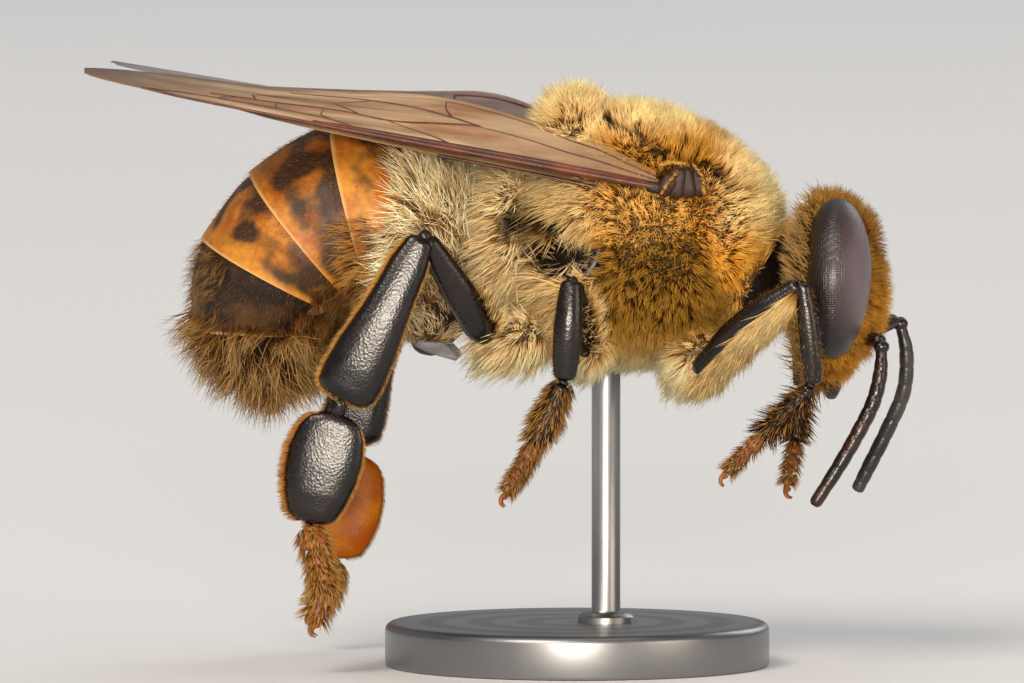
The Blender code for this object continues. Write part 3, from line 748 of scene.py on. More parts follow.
@dataclass
class Body:
    """Thorax, head, neck and hips as one skin, and the coat that stands on it."""

    barber: Barber
    coat_depth: float = 0.5
    voxel: float = 0.085
    # x, lowest z, highest z, half width, out to the tips of the coat
    thorax: Sequence[Sequence[float]] = (
        (-1.75, 7.6, 9.6, 0.8), (-1.55, 7.1, 10.3, 1.4), (-1.1, 6.6, 11.0, 2.0), (-0.4, 6.3, 11.5, 2.45),
        (0.4, 6.12, 11.9, 2.7), (1.2, 6.08, 12.02, 2.8), (2.0, 6.15, 11.86, 2.78), (2.7, 6.45, 11.55, 2.65),
        (3.3, 6.95, 11.2, 2.4), (3.8, 7.65, 10.82, 2.05), (4.15, 8.3, 10.4, 1.6), (4.38, 8.9, 9.95, 0.9))
    scutellum_at: Sequence[float] = (-0.05, 0.0, 11.0)
    scutellum_radii: Sequence[float] = (0.95, 1.75, 1.2)
    # height z, back x, front x, half width, out to the tips of the coat
    head: Sequence[Sequence[float]] = (
        (5.58, 4.98, 5.3, 0.5), (5.74, 4.8, 5.48, 0.9), (6.1, 4.68, 5.84, 1.4), (6.66, 4.62, 6.14, 1.85),
        (7.28, 4.6, 6.42, 2.12), (7.68, 4.6, 6.5, 2.2), (8.12, 4.6, 6.48, 2.22), (8.58, 4.62, 6.3, 2.15),
        (9.05, 4.66, 6.14, 1.98), (9.42, 4.74, 5.96, 1.7), (9.7, 4.84, 5.75, 1.3), (9.86, 5.0, 5.5, 0.8))
    head_depth: float = 0.2
    hollow_at: tuple[float, float] = (-0.02, 8.6)
    hollow_radii: tuple[float, float] = (0.72, 0.5)
    hollow_depth: float = 0.45
    neck: Sequence[Sequence[float]] = ((3.2, 0, 8.8), (5.2, 0, 8.0))
    hips: Sequence[tuple] = (((-0.7, 0.8, 6.9), (-1.7, 1.7, 6.8), 0.42), ((0.3, 0.8, 6.8), (0.34, 2.05, 6.62), 0.42),
                             ((2.5, 0.6, 6.9), (2.45, 1.6, 6.1), 0.5))
    skin: Optional[bpy.types.Object] = None

    def flesh(self) -> Shell:
        """The closed shapes that the skin is drawn over, in mm."""
        shell = Shell()
        across, up, ahead = np.array([0, 1.0, 0]), np.array([0, 0, 1.0]), np.array([1.0, 0, 0])
        d = self.coat_depth
        rings = []
        for x, low, high, half in self.thorax:
            x = 1.2 + (x - 1.2) * 0.86
            low, high, half = low + d * 0.75, high - d * 0.9, half - d * 0.85
            middle = low + (high - low) * 0.47
            rings.append(ellipse_ring(np.array([x, 0, middle]), across, up, half, high - middle, middle - low, 40))
        shell.loft(np.array(rings))
        shell.ball(self.scutellum_at, np.array(self.scutellum_radii) - [0.3, 0.3, 0.42])
        shell.ball((-1.45, 0, 8.95), (0.75, 1.6, 1.5))
        shell.ball((3.55, 0, 7.9), (0.9, 1.4, 1.0))
        d = self.head_depth
        rings = []
        for z, back, front, half in self.head:
            z = 7.72 + (z - 7.72) * 0.93
            back, front, half = back - 0.08, front - d, half - d
            middle = back + (front - back) * 0.4
            rings.append(ellipse_ring(np.array([middle, 0, z]), across, ahead, half, front - middle, middle - back, 40))
        shell.loft(np.array(rings))
        shell.loft(Sweep(self.neck, (0.62, 0.55, 0.62), (0.62, 0.55, 0.62)).rings(20, 24))
        for start, end, radius in self.hips:
            for side in (-1, 1):
                path = [(p[0], p[1] * side, p[2]) for p in (start, end)]
                shell.loft(Sweep(path, (radius, radius * 1.05, radius * 0.8), (radius,) * 2, 0.9).rings(16, 20))
        return shell

    def make_skin(self) -> bpy.types.Object:
        """Draws one skin over the flesh and marks it with the coat's colours.

        Returns:
            The skin.
        """
        flesh = self.flesh().build("flesh_under_skin")
        flesh.data.transform(Matrix.Scale(1 / MM, 4))
        remesh = flesh.modifiers.new("one_skin", "REMESH")
        remesh.mode = "VOXEL"
        remesh.voxel_size = self.voxel
        smooth = flesh.modifiers.new("smooth", "SMOOTH")
        smooth.factor = 0.6
        smooth.iterations = 6
        graph = bpy.context.evaluated_depsgraph_get()
        mesh = bpy.data.meshes.new_from_object(flesh.evaluated_get(graph))
        bpy.data.objects.remove(flesh)
        mesh.transform(Matrix.Scale(MM, 4))
        mesh.shade_smooth()
        mesh.name = "body_skin"
        self.skin = bpy.data.objects.new("body_skin", mesh)
        bpy.context.scene.collection.objects.link(self.skin)
        places = np.empty(len(mesh.vertices) * 3)
        mesh.vertices.foreach_get("co", places)
        places = places.reshape(-1, 3) / MM
        sunk = blob(places, self.hollow_at, self.hollow_radii) * smoothstep(0.9, 1.3, np.abs(places[:, 1]))
        places[:, 1] -= np.sign(places[:, 1]) * sunk * self.hollow_depth
        mesh.vertices.foreach_set("co", np.ravel(places * MM))
        mesh.update()
        tint = self.tint_at(places) * (1 - self.bare_at(places))[:, None]
        mesh.attributes.new("tint", "FLOAT_COLOR", "POINT").data.foreach_set(
            "color", np.ravel(np.column_stack([tint, np.ones(len(tint))])))
        mesh.materials.append(Skin().make())
        return self.skin

    @staticmethod
    def is_head(p: np.ndarray) -> np.ndarray:
        """Which places are on the head."""
        return p[:, 0] > 4.42

    def bare_at(self, p: np.ndarray) -> np.ndarray:
        """How bare the body is: 1 in the dark gaps between its furry lobes, 0 under full coat."""
        x, y, z = p.T
        out = np.abs(y)
        bare = 1.2 * blob(p, self.hollow_at, (0.78, 0.52)) * smoothstep(0.9, 1.3, out)
        bare = np.maximum(bare, 0.68 * blob(p, (-0.8, 9.15), (0.75, 0.6)) * smoothstep(0.9, 1.3, out))
        bare = np.maximum(bare, blob(p, (0.68, 11.5), (0.17, 0.34)) * smoothstep(0.3, 0.7, out))
        groove = [(0.7, 11.3), (1.1, 11.0), (1.5, 10.8), (2.1, 10.5), (2.9, 10.35), (3.2, 9.9)]
        bare = np.maximum(bare, near_line(p, groove, 0.13) * smoothstep(0.8, 1.2, out) * 0.62)
        bare = np.maximum(bare, blob(p, (2.2, 10.14), (0.55, 0.22)) * smoothstep(1.2, 1.6, out))
        edge = 4.03 - (8.65 - z) * 0.565
        gap = smoothstep(-0.1, 0.1, x - edge) * smoothstep(8.75, 8.55, z) * smoothstep(6.45, 6.65, z)
        bare = np.maximum(bare, gap * (x < 4.42))
        bare = smoothstep(0.3, 0.78, bare + 0.26 * wobble(p, 0.5, 21) + 0.14 * wobble(p, 0.2, 22))
        neck = np.hypot(y, z - (8.8 - (x - 3.2) * 0.4)) < 0.8
        bare[neck & (x > 3.65) & (x < 4.8) & (z < 8.9)] = 1
        return bare

    def tint_at(self, p: np.ndarray) -> np.ndarray:
        """The coat's colour at places on the body, in linear light, with painted shade on the thorax's rear towards the
        abdomen.

        Args:
            p: places in mm.
        Returns:
            A colour for each place.
        """
        x, y, z = p.T
        top = smoothstep(10.1, 10.5, z) * smoothstep(0.5, 0.9, x)
        tint = np.tile(GOLD, (len(p), 1))
        tint = mixed(tint, OLIVE, 0.85 * blob(p, (1.6, 7.75), (1.75, 1.35)))
        tint = mixed(tint, STRAW, 0.7 * blob(p, (1.5, 9.45), (1.0, 0.6)))
        tint = mixed(tint, STRAW, 0.9 * smoothstep(7.4, 6.7, z))
        tint = mixed(tint, GOLD * 1.25, 0.9 * blob(p, (3.25, 8.9), (0.5, 0.9)))
        tint = mixed(tint, STRAW, 0.6 * smoothstep(0.5, 0.1, 4.03 - (8.65 - z) * 0.565 - x) * (z < 8.7))
        tint = mixed(tint, OCHRE, top * 0.85)
        rim = np.maximum(smoothstep(10.7, 11.3, z), smoothstep(2.6, 3.3, x) * smoothstep(8.6, 9.4, z))
        tint = mixed(tint, np.array(linear("#FFE2A2")) * 1.12, rim)
        tint = mixed(tint, CREAM, smoothstep(0.9, 0.2, x))
        tint = mixed(tint, PALE, 0.6 * smoothstep(-0.2, -0.9, x) * (z < 10.5))
        # painted shade: darker olive hair on the thorax's rear, where the gap to the abdomen lies in shade
        tint = mixed(tint, OLIVE * 0.55, 0.75 * blob(p, (-0.8, 9.45), (0.5, 0.5)))
        tint = mixed(tint, PALE * 1.25, smoothstep(7.0, 6.4, z) * 0.9)
        head = self.is_head(p)
        face = np.tile(GOLD * 0.9, (len(p), 1))
        face = mixed(face, OCHRE * 0.72, smoothstep(7.2, 8.4, z) * 0.85)
        face = mixed(face, np.array(linear("#A88A54")), smoothstep(5.3, 4.9, x))
        tint[head] = face[head]
        return tint * (1 + 0.12 * wobble(p, 0.7, 9) + 0.08 * wobble(p, 0.25, 10))[:, None]

    def tufts_at(self, p: np.ndarray, normal: np.ndarray) -> np.ndarray:
        """How thick the long hairs stand: they make the mane, the belly, the hips and the fringes."""
        x, y, z = p.T
        out = np.abs(y)
        much = np.full(len(p), 0.035)
        much = np.maximum(much, smoothstep(0.9, 0.2, x))
        much = np.maximum(much, smoothstep(6.9, 6.3, z) * 0.7)
        much = np.maximum(much, blob(p, (1.4, 9.5), (0.9, 0.55)) * 0.3)
        much = np.maximum(much, smoothstep(3.45, 3.8, x) * (z > 8.5) * (x < 4.42) * 0.8)
        much = much * (1 - self.bare_at(p))
        head = self.is_head(p)
        much[head] = 0.35
        much[head & (normal[:, 0] < -0.2) & (out < 0.9)] = 0.1
        much[head & (normal[:, 0] < 0.1) & (out > 0.9)] = 1.3
        return much

    def tuft_length(self, p: np.ndarray) -> np.ndarray:
        """Length of the long hairs, in mm."""
        x, _, z = p.T
        length = 0.6 + 0.25 * smoothstep(0.2, -0.8, x) * (z < 10.4)
        length += 0.1 * smoothstep(6.6, 6.2, z)
        length[self.is_head(p)] = np.where(x < 5.1, 0.55, 0.36)[self.is_head(p)]
        return length

    def plush_length(self, p: np.ndarray) -> np.ndarray:
        """Length of the short plush, in mm."""
        length = 0.5 - 0.08 * smoothstep(10.6, 11.4, p[:, 2])
        length -= 0.18 * self.bare_at(p)
        length[self.is_head(p)] = 0.25
        return length

    def lie_at(self, p: np.ndarray, normal: np.ndarray) -> np.ndarray:
        """Which way the hairs sweep at places on the body, about as long as it sweeps them.

        Args:
            p: places in mm.
            normal: the skin's normals there.
        Returns:
            A sweep for each place.
        """
        x, y, z = p.T
        lie = np.zeros_like(p)
        lie[:, 0] = -0.1
        lie[:, 2] = -0.12
        lie[:, 2] += 0.25 * smoothstep(10.4, 11.4, z)
        front = smoothstep(3.0, 3.8, x) * (x < 4.42) * (z > 8.4)
        lie[:, 0] += front * 0.35
        lie[:, 2] += front * 0.4
        rear = smoothstep(0.6, -0.6, x) * (z < 10.5)
        lie[:, 0] -= rear * 0.75
        lie[:, 2] -= rear * 0.4
        low = smoothstep(7.3, 6.5, z)
        lie[:, 0] -= low * 0.6
        lie[:, 2] -= low * 0.95
        away = p - np.array([self.hollow_at[0], 0, self.hollow_at[1]])
        away[:, 1] = 0
        inward = blob(p, self.hollow_at, (1.0, 0.85)) * (0.1 + 0.25 * (away[:, 2] > 0) + 0.15 * (away[:, 0] < 0))
        lie -= unit(away) * inward[:, None]
        head = self.is_head(p)
        lie[head] = [0.1, 0, -0.3]
        lie[head & (z > 9.0)] = [0.15, 0, 0.3]
        back = head & (x < 5.15)
        lie[back] = [-0.5, 0, 0.45]
        lie[back, 1] = np.sign(y[back]) * 0.45
        return lie - normal * np.einsum("ij,ij->i", lie, normal)[:, None] * 0.7

    def unwrap(self, p: np.ndarray) -> np.ndarray:
        """A place on the map for each place on the body: round the body and along it, head beside thorax."""
        x, y, z = p.T
        head = self.is_head(p)
        middle = 9.0 - 0.0 * x
        round_body = np.arctan2(y, z - middle) / (2 * math.pi) + 0.5
        along = (x + 1.9) / 6.4
        round_head = np.arctan2(y, -(x - 5.3)) / (2 * math.pi) + 0.5
        tall = (z - 5.5) / 4.4
        u = np.where(head, 0.66 + 0.33 * round_head, 0.01 + 0.63 * round_body)
        return np.column_stack([u, np.where(head, tall, along)])

    def roots(self, count: int, seed: int, density: Callable, length: Callable) -> Roots:
        """Hair roots on the skin.

        Args:
            count: how many.
            seed: for the scatter.
            density: gives how thick they stand from places and normals.
            length: gives their length in mm from places.
        Returns:
            The roots.
        """
        rng = np.random.default_rng(seed)
        mesh = self.skin.data
        mesh.calc_loop_triangles()
        corners = np.empty(len(mesh.loop_triangles) * 3, dtype=np.int32)
        mesh.loop_triangles.foreach_get("vertices", corners)
        corners = corners.reshape(-1, 3)
        places = np.empty(len(mesh.vertices) * 3)
        mesh.vertices.foreach_get("co", places)
        places = places.reshape(-1, 3) / MM
        normals = np.empty(len(mesh.vertices) * 3)
        mesh.vertex_normals.foreach_get("vector", normals)
        normals = normals.reshape(-1, 3)
        a, b, c = (places[corners[:, i]] for i in range(3))
        area = np.linalg.norm(np.cross(b - a, c - a), axis=1)
        middle = (a + b + c) / 3
        facing = unit(normals[corners].sum(1))
        weight = area * density(middle, facing)
        pick = rng.choice(len(corners), count, p=weight / weight.sum())
        u, v = rng.random(count), rng.random(count)
        flip = u + v > 1
        u[flip], v[flip] = 1 - u[flip], 1 - v[flip]
        at = a[pick] + (b - a)[pick] * u[:, None] + (c - a)[pick] * v[:, None]
        normal = facing[pick]
        tall = length(at) * rng.uniform(0.7, 1.1, count)
        tint = self.tint_at(at) * rng.uniform(0.78, 1.12, (count, 1))
        return Roots(at - normal * 0.03, normal, self.lie_at(at, normal), tall, tint, self.unwrap(at))

    def crest(self, count: int, seed: int) -> Roots:
        """Roots of the fringe that stands out from the face and crown between the eyes."""
        rng = np.random.default_rng(seed)
        profile = [(4.95, 0, 9.5), (5.35, 0, 9.52), (5.72, 0, 9.3), (5.92, 0, 9.0), (6.06, 0, 8.6), (6.2, 0, 8.1),
                   (6.24, 0, 7.6), (6.12, 0, 7.1), (5.86, 0, 6.6)]
        at = spline(profile, rng.random(count))
        normal = unit((at - [5.1, 0, 8.0]) * [1.9, 0, 1])
        at[:, 1] = rng.normal(0, 0.35, count).clip(-0.8, 0.8)
        lie = np.column_stack([np.zeros(count), at[:, 1] * 0.4, np.where(at[:, 2] > 8.8, 0.1, -0.25)])
        tint = mixed(np.tile(GOLD * 0.85, (count, 1)), OCHRE * 0.6, smoothstep(7.4, 8.8, at[:, 2])) * rng.uniform(0.7, 1.1, (count, 1))
        tall = rng.uniform(0.3, 0.42, count) + 0.12 * smoothstep(8.4, 9.0, at[:, 2])
        return Roots(at, normal, lie, tall, tint, self.unwrap(at))

    def curls(self, count: int, seed: int) -> Roots:
        """Roots of the pale curls that reach in over the hollow in the flank."""
        def around(p: np.ndarray, _: np.ndarray) -> np.ndarray:
            """How thick they stand: in a ring about the hollow."""
            ring = blob(p, self.hollow_at, (0.95, 0.72)) * (1 - blob(p, self.hollow_at, (0.6, 0.4)))
            return ring * smoothstep(0.9, 1.3, np.abs(p[:, 1]))
        roots = self.roots(count, seed, around, lambda p: np.full(len(p), 0.55))
        away = roots.at - np.array([self.hollow_at[0], 0, self.hollow_at[1]])
        away[:, 1] = 0
        roots.lie = -unit(away) * 1.3 + np.array([0.2, 0, -0.3])
        roots.tint = mixed(roots.tint, PALE, np.full(count, 0.8))
        return roots

    def make_coat(self) -> list[bpy.types.Object]:
        """Grows short plush and long tufts, each in pieces small enough to export whole."""
        plush = self.roots(102000, SEED, lambda p, n: (1 - self.bare_at(p)) * np.where(self.is_head(p), 1.3, 1.0)
                           * np.where(self.is_head(p) & (n[:, 0] < -0.4), 0.05, 1.0), self.plush_length)
        tufts = self.roots(17600, SEED + 1, self.tufts_at, self.tuft_length).joined(self.crest(2300, SEED + 2))
        pieces = []
        for name, roots, kind, most, clump, spread, per_tuft in (
                ("plush", plush, Hair.PLUSH, 49000, 0.55, 0.3, 16), ("tufts", tufts, Hair.PLUME, 19900, 0.5, 0.3, 14)):
            head = self.is_head(roots.at)
            left = roots.at[:, 1] > 0
            for part, keep in (("head", head), ("right", ~head & ~left), ("left", ~head & left)):
                chosen = np.flatnonzero(keep)
                for number, some in enumerate(np.array_split(chosen, max(1, -(-len(chosen) // most)))):
                    pieces.append(self.barber.grow(f"coat_{name}_{part}_{number + 1}", roots.part(some), kind,
                                                   SEED + 10 * len(pieces), clump, spread, per_tuft))
        pieces.append(self.barber.grow("coat_flank_curls", self.curls(260, SEED + 3), Hair.SILK, 91, 0.75, 0.6, 9))
        return pieces

    def build(self) -> list[bpy.types.Object]:
        """Makes skin and coat and hides the CAD nodes they stand for."""
        skin = self.make_skin()
        hips = [f"leg_{pair}_{side.word}_hip" for pair in ("front", "middle", "hind") for side in Side]
        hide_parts("thorax", "scutellum", "head", "neck", *hips)
        return [skin, *self.make_coat()]


@dataclass
class Abdomen:
    """Six plates curled about one line, each one's rim standing over the next, and their hair."""

    barber: Barber
    curl: Sequence[float] = (-3.9, 6.82)
    # angle, inner radius, outer radius, half width of the shell
    rows: Sequence[Sequence[float]] = (
        (-12, 0.4, 1.2, 0.6), (8, 0.32, 1.6, 0.9), (30, 0.3, 2.2, 1.2), (50, 0.3, 2.85, 1.6), (66, 0.3, 3.65, 2.1),
        (80, 0.3, 4.25, 2.42), (92, 0.32, 4.56, 2.55), (105, 0.4, 4.62, 2.6), (118, 0.5, 4.55, 2.6), (130, 0.65, 4.48, 2.55),
        (141, 0.8, 4.42, 2.45), (152, 0.95, 4.4, 2.32), (163, 1.1, 4.3, 2.1), (171, 1.2, 4.18, 1.9),
        (178, 1.35, 4.0, 1.7), (184, 1.45, 3.76, 1.5), (190, 1.55, 3.5, 1.3), (201, 1.75, 2.9, 0.85), (207, 1.85, 2.55, 0.55))
    rims: Sequence[float] = (-12, 74, 105, 130, 152, 178, 207)
    flare: float = 0.045
    lap: float = 2.2  # degrees that each plate reaches in under the one before it

    def surface(self, angle: np.ndarray, turn: np.ndarray, grow: float = 0.0) -> tuple[np.ndarray, np.ndarray, np.ndarray]:
        """Places on the abdomen.

        Args:
            angle: round the curl, in degrees.
            turn: round the body's own section, with 0 at the left side and 90 degrees at the back.
            grow: how far to stand out, in mm.
        Returns:
            Places, normals and the way towards the tip.
        """
        table = np.array(self.rows)
        inner, outer, half = (np.interp(angle, table[:, 0], table[:, k]) for k in (1, 2, 3))
        a = np.radians(angle)
        out = np.column_stack([np.cos(a), np.zeros_like(a), np.sin(a)])
        onward = np.column_stack([-np.sin(a), np.zeros_like(a), np.cos(a)])
        c, s = np.cos(turn), np.sin(turn)
        c = np.sign(c) * np.abs(c) ** (2 / 2.2)
        s = np.sign(s) * np.abs(s) ** (2 / 2.2)
        middle = (inner + outer) / 2
        tall = (outer - inner) / 2 + grow
        centre = np.array([self.curl[0], 0, self.curl[1]]) + out * middle[:, None]
        place = centre + out * (s * tall)[:, None] + np.outer(c * (half + grow), [0, 1, 0])
        normal = unit(out * (s / tall)[:, None] + np.outer(c / half, [0, 1, 0]))
        return place, normal, onward

    def plate(self, number: int, material: bpy.types.Material) -> bpy.types.Object:
        """One plate as a closed, slightly barrelled band with smoky clouds and a thin pale rim.

        Args:
            number: which plate, from 0 at the waist.
            material: its finish.
        Returns:
            The plate.
        """
        start, end = self.rims[number], self.rims[number + 1]
        last = number == len(self.rims) - 2
        start = start - (self.lap if number else 0)
        span = np.concatenate([np.linspace(0, 0.9, 25), [0.93, 0.955, 0.975, 0.99, 1.0]])
        sides = 128
        turn = np.linspace(0, 2 * math.pi, sides, endpoint=False)
        back = smoothstep(-0.55, 0.15, np.sin(turn))
        rings, rims, smokes = [], [], []
        for share in span:
            lip = 0.0 if last or not number else self.flare * max(0.0, (share - 0.6) / 0.4) ** 1.6
            tuck = -0.05 * (1 - min(1.0, share / 0.25))
            ring = self.surface(np.full(sides, start + (end - start) * share), turn, tuck + lip)[0]
            folded = np.column_stack([ring[:, 0], -np.abs(ring[:, 1]), ring[:, 2]])
            cloud = 0.66 + 0.34 * wobble(folded, 1.7, 70 + number) + 0.24 * wobble(folded, 0.8, 90 + number)
            cloud += 0.4 * smoothstep(0.75, 0.15, np.full(sides, share)) - 0.1 + 0.5 * (1 - back)
            cloud *= smoothstep(1.05, 0.7, np.full(sides, share)) if not last else 1.0
            rings.append(ring)
            smokes.append(np.clip(cloud, 0, 1))
            rims.append(back * (0.0 if last or not number else float(np.clip((share - 0.965) / 0.015, 0, 1))))
        if last or number == 0:
            tip = -1 if last else 0
            middle = rings[tip].mean(0)
            push = self.surface(np.array([end if last else start]), np.array([0.0]))[2][0] * (0.12 if last else -0.12)
            ends = [middle + (rings[tip] - middle) * k + push * d for k, d in ((0.93, 0.5), (0.75, 1.1), (0.4, 1.6))]
            rings = rings + ends if last else ends[::-1] + rings
            none = [np.ones(sides)] * 3
            smokes = smokes + none if last else none + smokes
            rims = rims + [np.zeros(sides)] * 3 if last else [np.zeros(sides)] * 3 + rims
        if not last:
            lip = rings[-1].mean(0)
            rings.append(lip + (rings[-1] - lip) * 0.97)
            rims.append(np.zeros(sides))
            smokes.append(np.ones(sides))
        piece = Shell().loft(np.array(rings)).build(f"abdomen_plate_{number + 1}", material)
        for label, values in (("rim", rims), ("smoke", smokes)):
            piece.data.attributes.new(label, "FLOAT", "POINT").data.foreach_set("value", np.append(np.ravel(values), [0.0, 1.0]))
        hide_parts(f"abdomen_{number + 1}")
        return piece

    def roots(self, count: int, seed: int, angles: tuple[float, float], turns: tuple[float, float],
              length: float, tint: Sequence[float], sweep: float, stray: float = 0.12) -> Roots:
        """Hair roots on a stretch of the abdomen, the same on both its sides.

        Args:
            count: how many.
            seed: for the scatter.
            angles: from and to, round the curl.
            turns: from and to, in degrees from the underside's middle (0) to the back's (180).
            length: of a hair, in mm.
            tint: their colour.
            sweep: how strongly they lie towards the tip.
            stray: how much their colours differ.
        Returns:
            The roots.
        """
        rng = np.random.default_rng(seed)
        angle = rng.uniform(*angles, count)
        from_below = np.radians(rng.uniform(*turns, count))
        turn = -math.pi / 2 + from_below * rng.choice([-1, 1], count)
        at, normal, onward = self.surface(angle, turn)
        colours = np.tile(np.array(tint), (count, 1)) * rng.uniform(1 - stray * 2, 1 + stray, (count, 1))
        uv = np.column_stack([((turn + math.pi / 2) / (2 * math.pi)) % 1, (angle + 14) / 224])
        lengths = length * rng.uniform(0.6, 1.15, count)
        return Roots(at - normal * 0.02, normal, onward * sweep, lengths, colours, uv)

    def side_plates(self) -> list[bpy.types.Object]:
        """The small plates that show low on each side, and the grey film under the waist."""
        pink = AmberShell("cuticle_rosy", "#5A3A28", "#7E5A48", "#2E1C12").make()
        grey = Membrane("film_grey", "#3C3A38", "#6E6E6E", 0.7, 0.0, 1.3, 0.6).make()
        plates, film = Shell(), Shell()
        for side in Side:
            y = side.value
            plates.ball((-5.55, 1.72 * y, 7.6), (0.6, 0.13, 0.24), Matrix.Rotation(math.radians(4), 4, "Y"), 32, 20)
            path = [(-3.7, 0.6 * y, 7.5), (-3.2, 0.7 * y, 6.9), (-2.45, 0.6 * y, 6.4)]
            film.loft(Sweep(path, (0.2, 0.32, 0.22, 0.05), (0.015, 0.02, 0.02, 0.015)).rings(24, 20))
        return [plates.build("side_plates", pink), film.build("waist_film", grey)]

    def coat(self) -> list[bpy.types.Object]:
        """The hair of the abdomen: cream burst at the waist, fine down on the plates, shaggy tip."""
        honey, tan = np.array(linear("#B98B4A")), np.array(linear("#C9A468"))
        burst = self.roots(5600, 41, (46, 80), (46, 176), 0.95, PALE * 1.3, 0.45)
        burst = burst.joined(self.roots(2000, 42, (-6, 56), (20, 130), 0.6, PALE, 0.3))
        burst = burst.joined(self.roots(3000, 43, (66, 112), (14, 92), 0.6, honey * 1.25, 0.8))
        burst = burst.joined(self.roots(1100, 40, (40, 70), (10, 70), 0.7, PALE, 0.4))
        burst = burst.joined(self.roots(1000, 38, (68, 86), (84, 150), 0.5, PALE * 1.2, 0.5))
        fine = self.roots(9500, 44, (74, 130), (20, 178), 0.16, honey, 1.3, 0.2)
        fine = fine.joined(self.roots(4000, 49, (130, 178), (20, 178), 0.15, honey, 1.2, 0.2))
        tail = self.roots(1900, 45, (104, 152), (6, 62), 0.5, BROWN * 0.8, 0.8, 0.2)
        tail = tail.joined(self.roots(1700, 46, (152, 180), (118, 179), 0.34, tan * 0.7, 0.9))
        tail = tail.joined(self.roots(1100, 39, (156, 180), (6, 62), 0.5, BROWN, 0.9))
        tail = tail.joined(self.roots(3200, 47, (176, 206), (0, 178), 0.6, BROWN * 0.55, 0.75, 0.25))
        tail = tail.joined(self.roots(3600, 48, (172, 206), (0, 178), 0.85, tan * 0.85, 0.5, 0.3))
        return [self.barber.grow("coat_waist", burst, Hair.SILK, 51, 0.7, 0.45, 24),
                self.barber.grow("coat_plates", fine, Hair.PLUSH, 52, 0.25, 0.25, 8),
                self.barber.grow("coat_tail", tail, Hair.SILK, 53, 0.72, 0.5, 20)]

    def build(self) -> list[bpy.types.Object]:
        """Makes the plates, their hair and the small plates."""
        amber = AmberShell("cuticle_amber").make()
        smoky = AmberShell("cuticle_smoky", "#3C240E", "#5E3E1C", "#140D08").make()
        front = AmberShell("cuticle_front", "#5A3A1C", "#7E5628", "#1A120B").make()
        pieces = [self.plate(n, (front, amber, amber, amber, smoky, smoky)[n]) for n in range(6)]
        return [*pieces, *self.side_plates(), *self.coat()]


@dataclass
class Eye:
    """A compound eye, set high on the side of the head and nearly meeting its twin on top."""

    side: Side
    centre: Sequence[float] = (5.4, 1.32, 8.12)
    radii: Sequence[float] = (0.76, 1.15, 1.67)
    lean: float = 3.0

    def build(self, material: bpy.types.Material) -> bpy.types.Object:
        """Makes the eye and paints shade into its colour: dark towards its back and foot, lighter where it faces out.
        """
        x, y, z = self.centre
        centre = (x, y * self.side.value, z)
        turn = Matrix.Rotation(math.radians(self.lean), 4, "Y")
        shell = Shell().ball(centre, self.radii, turn, 96, 72)
        offset = (shell.points - centre) / self.radii
        # painted shade and light for the lens colour, from where each place on the eye faces
        shade = 0.44 + 0.85 * offset[:, 0] + 0.05 * offset[:, 2] - 0.38 * offset[:, 2] ** 2
        eye = shell.build("eye_lenses_" + self.side.word, material)
        eye.data.attributes.new("shade", "FLOAT", "POINT").data.foreach_set("value", np.clip(shade, 0, 1))
        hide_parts("eye_" + self.side.word)
        return eye


@dataclass
class Feeler:
    """One antenna: a short scape, a ball joint and a long flagellum of close rings."""

    side: Side
    scape: Sequence[Sequence[float]]
    flagellum: Sequence[Sequence[float]]
    radius: float = 0.15

    def placed(self, points: Sequence[Sequence[float]]) -> list[tuple[float, float, float]]:
        """The points on this side of the bee."""
        return [(x, y * self.side.value, z) for x, y, z in points]

    def build(self, shell_finish: bpy.types.Material, ring_finish: bpy.types.Material) -> list[bpy.types.Object]:
        """Makes the scape with its joint, and the flagellum with a groove between its rings."""
        word = self.side.word
        r = self.radius
        joint = self.placed(self.flagellum)[0]
        upper = Shell().loft(Sweep(self.placed(self.scape), (r * 0.75, r, r * 1.05, r), (r * 0.75, r, r * 1.05, r)).rings(20, 16))
        upper.ball(joint, (r * 1.1, r * 1.1, r * 1.0), None, 20, 14)
        scape = upper.build("feeler_scape_" + word, shell_finish)
        sizes = (r * 0.7, r * 1.0, r * 1.04, r * 1.04, r * 1.0, r * 0.86)
        rings = Sweep(self.placed(self.flagellum), sizes, sizes, 0.7, ripple=0.14, ripples=11).rings(177, 18)
        flagellum = Shell().loft(rings).build("feeler_flagellum_" + word, ring_finish)
        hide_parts("antenna_scape_" + word)
        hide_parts("antenna_flagellum_" + word)
        return [scape, flagellum]


# ---------------------------------------------------------------------------------------------
# Legs
# ---------------------------------------------------------------------------------------------

@dataclass
class LegStyle:
    """Half widths and half thicknesses of a leg's pieces, in mm, from the upper end to the lower."""

    femur: tuple
    tibia: tuple
    basitarsus: tuple
    foot: float


STYLES = {
    "hind": LegStyle(((0.2, 0.34, 0.34, 0.22), (0.2, 0.26, 0.24, 0.18)),
                     ((0.25, 0.39, 0.43, 0.5, 0.6, 0.65, 0.6), (0.15, 0.19, 0.23, 0.27, 0.31, 0.28)),
                     ((0.48, 0.7, 0.78, 0.76, 0.64, 0.42), (0.14, 0.19, 0.25, 0.28, 0.22)), 0.22),
    "middle": LegStyle(((0.2, 0.28, 0.28, 0.2), (0.18, 0.22, 0.2, 0.17)),
                       ((0.2, 0.27, 0.3, 0.29, 0.22), (0.16, 0.2, 0.2, 0.17)),
                       ((0.18, 0.26, 0.28, 0.2), (0.14, 0.16, 0.16, 0.13)), 0.15),
    "front": LegStyle(((0.24, 0.32, 0.28, 0.18), (0.2, 0.22, 0.2, 0.16)),
                      ((0.17, 0.21, 0.22, 0.18), (0.15, 0.17, 0.17, 0.15)),
                      ((0.15, 0.2, 0.2, 0.15), (0.13, 0.14, 0.14, 0.12)), 0.125),
}

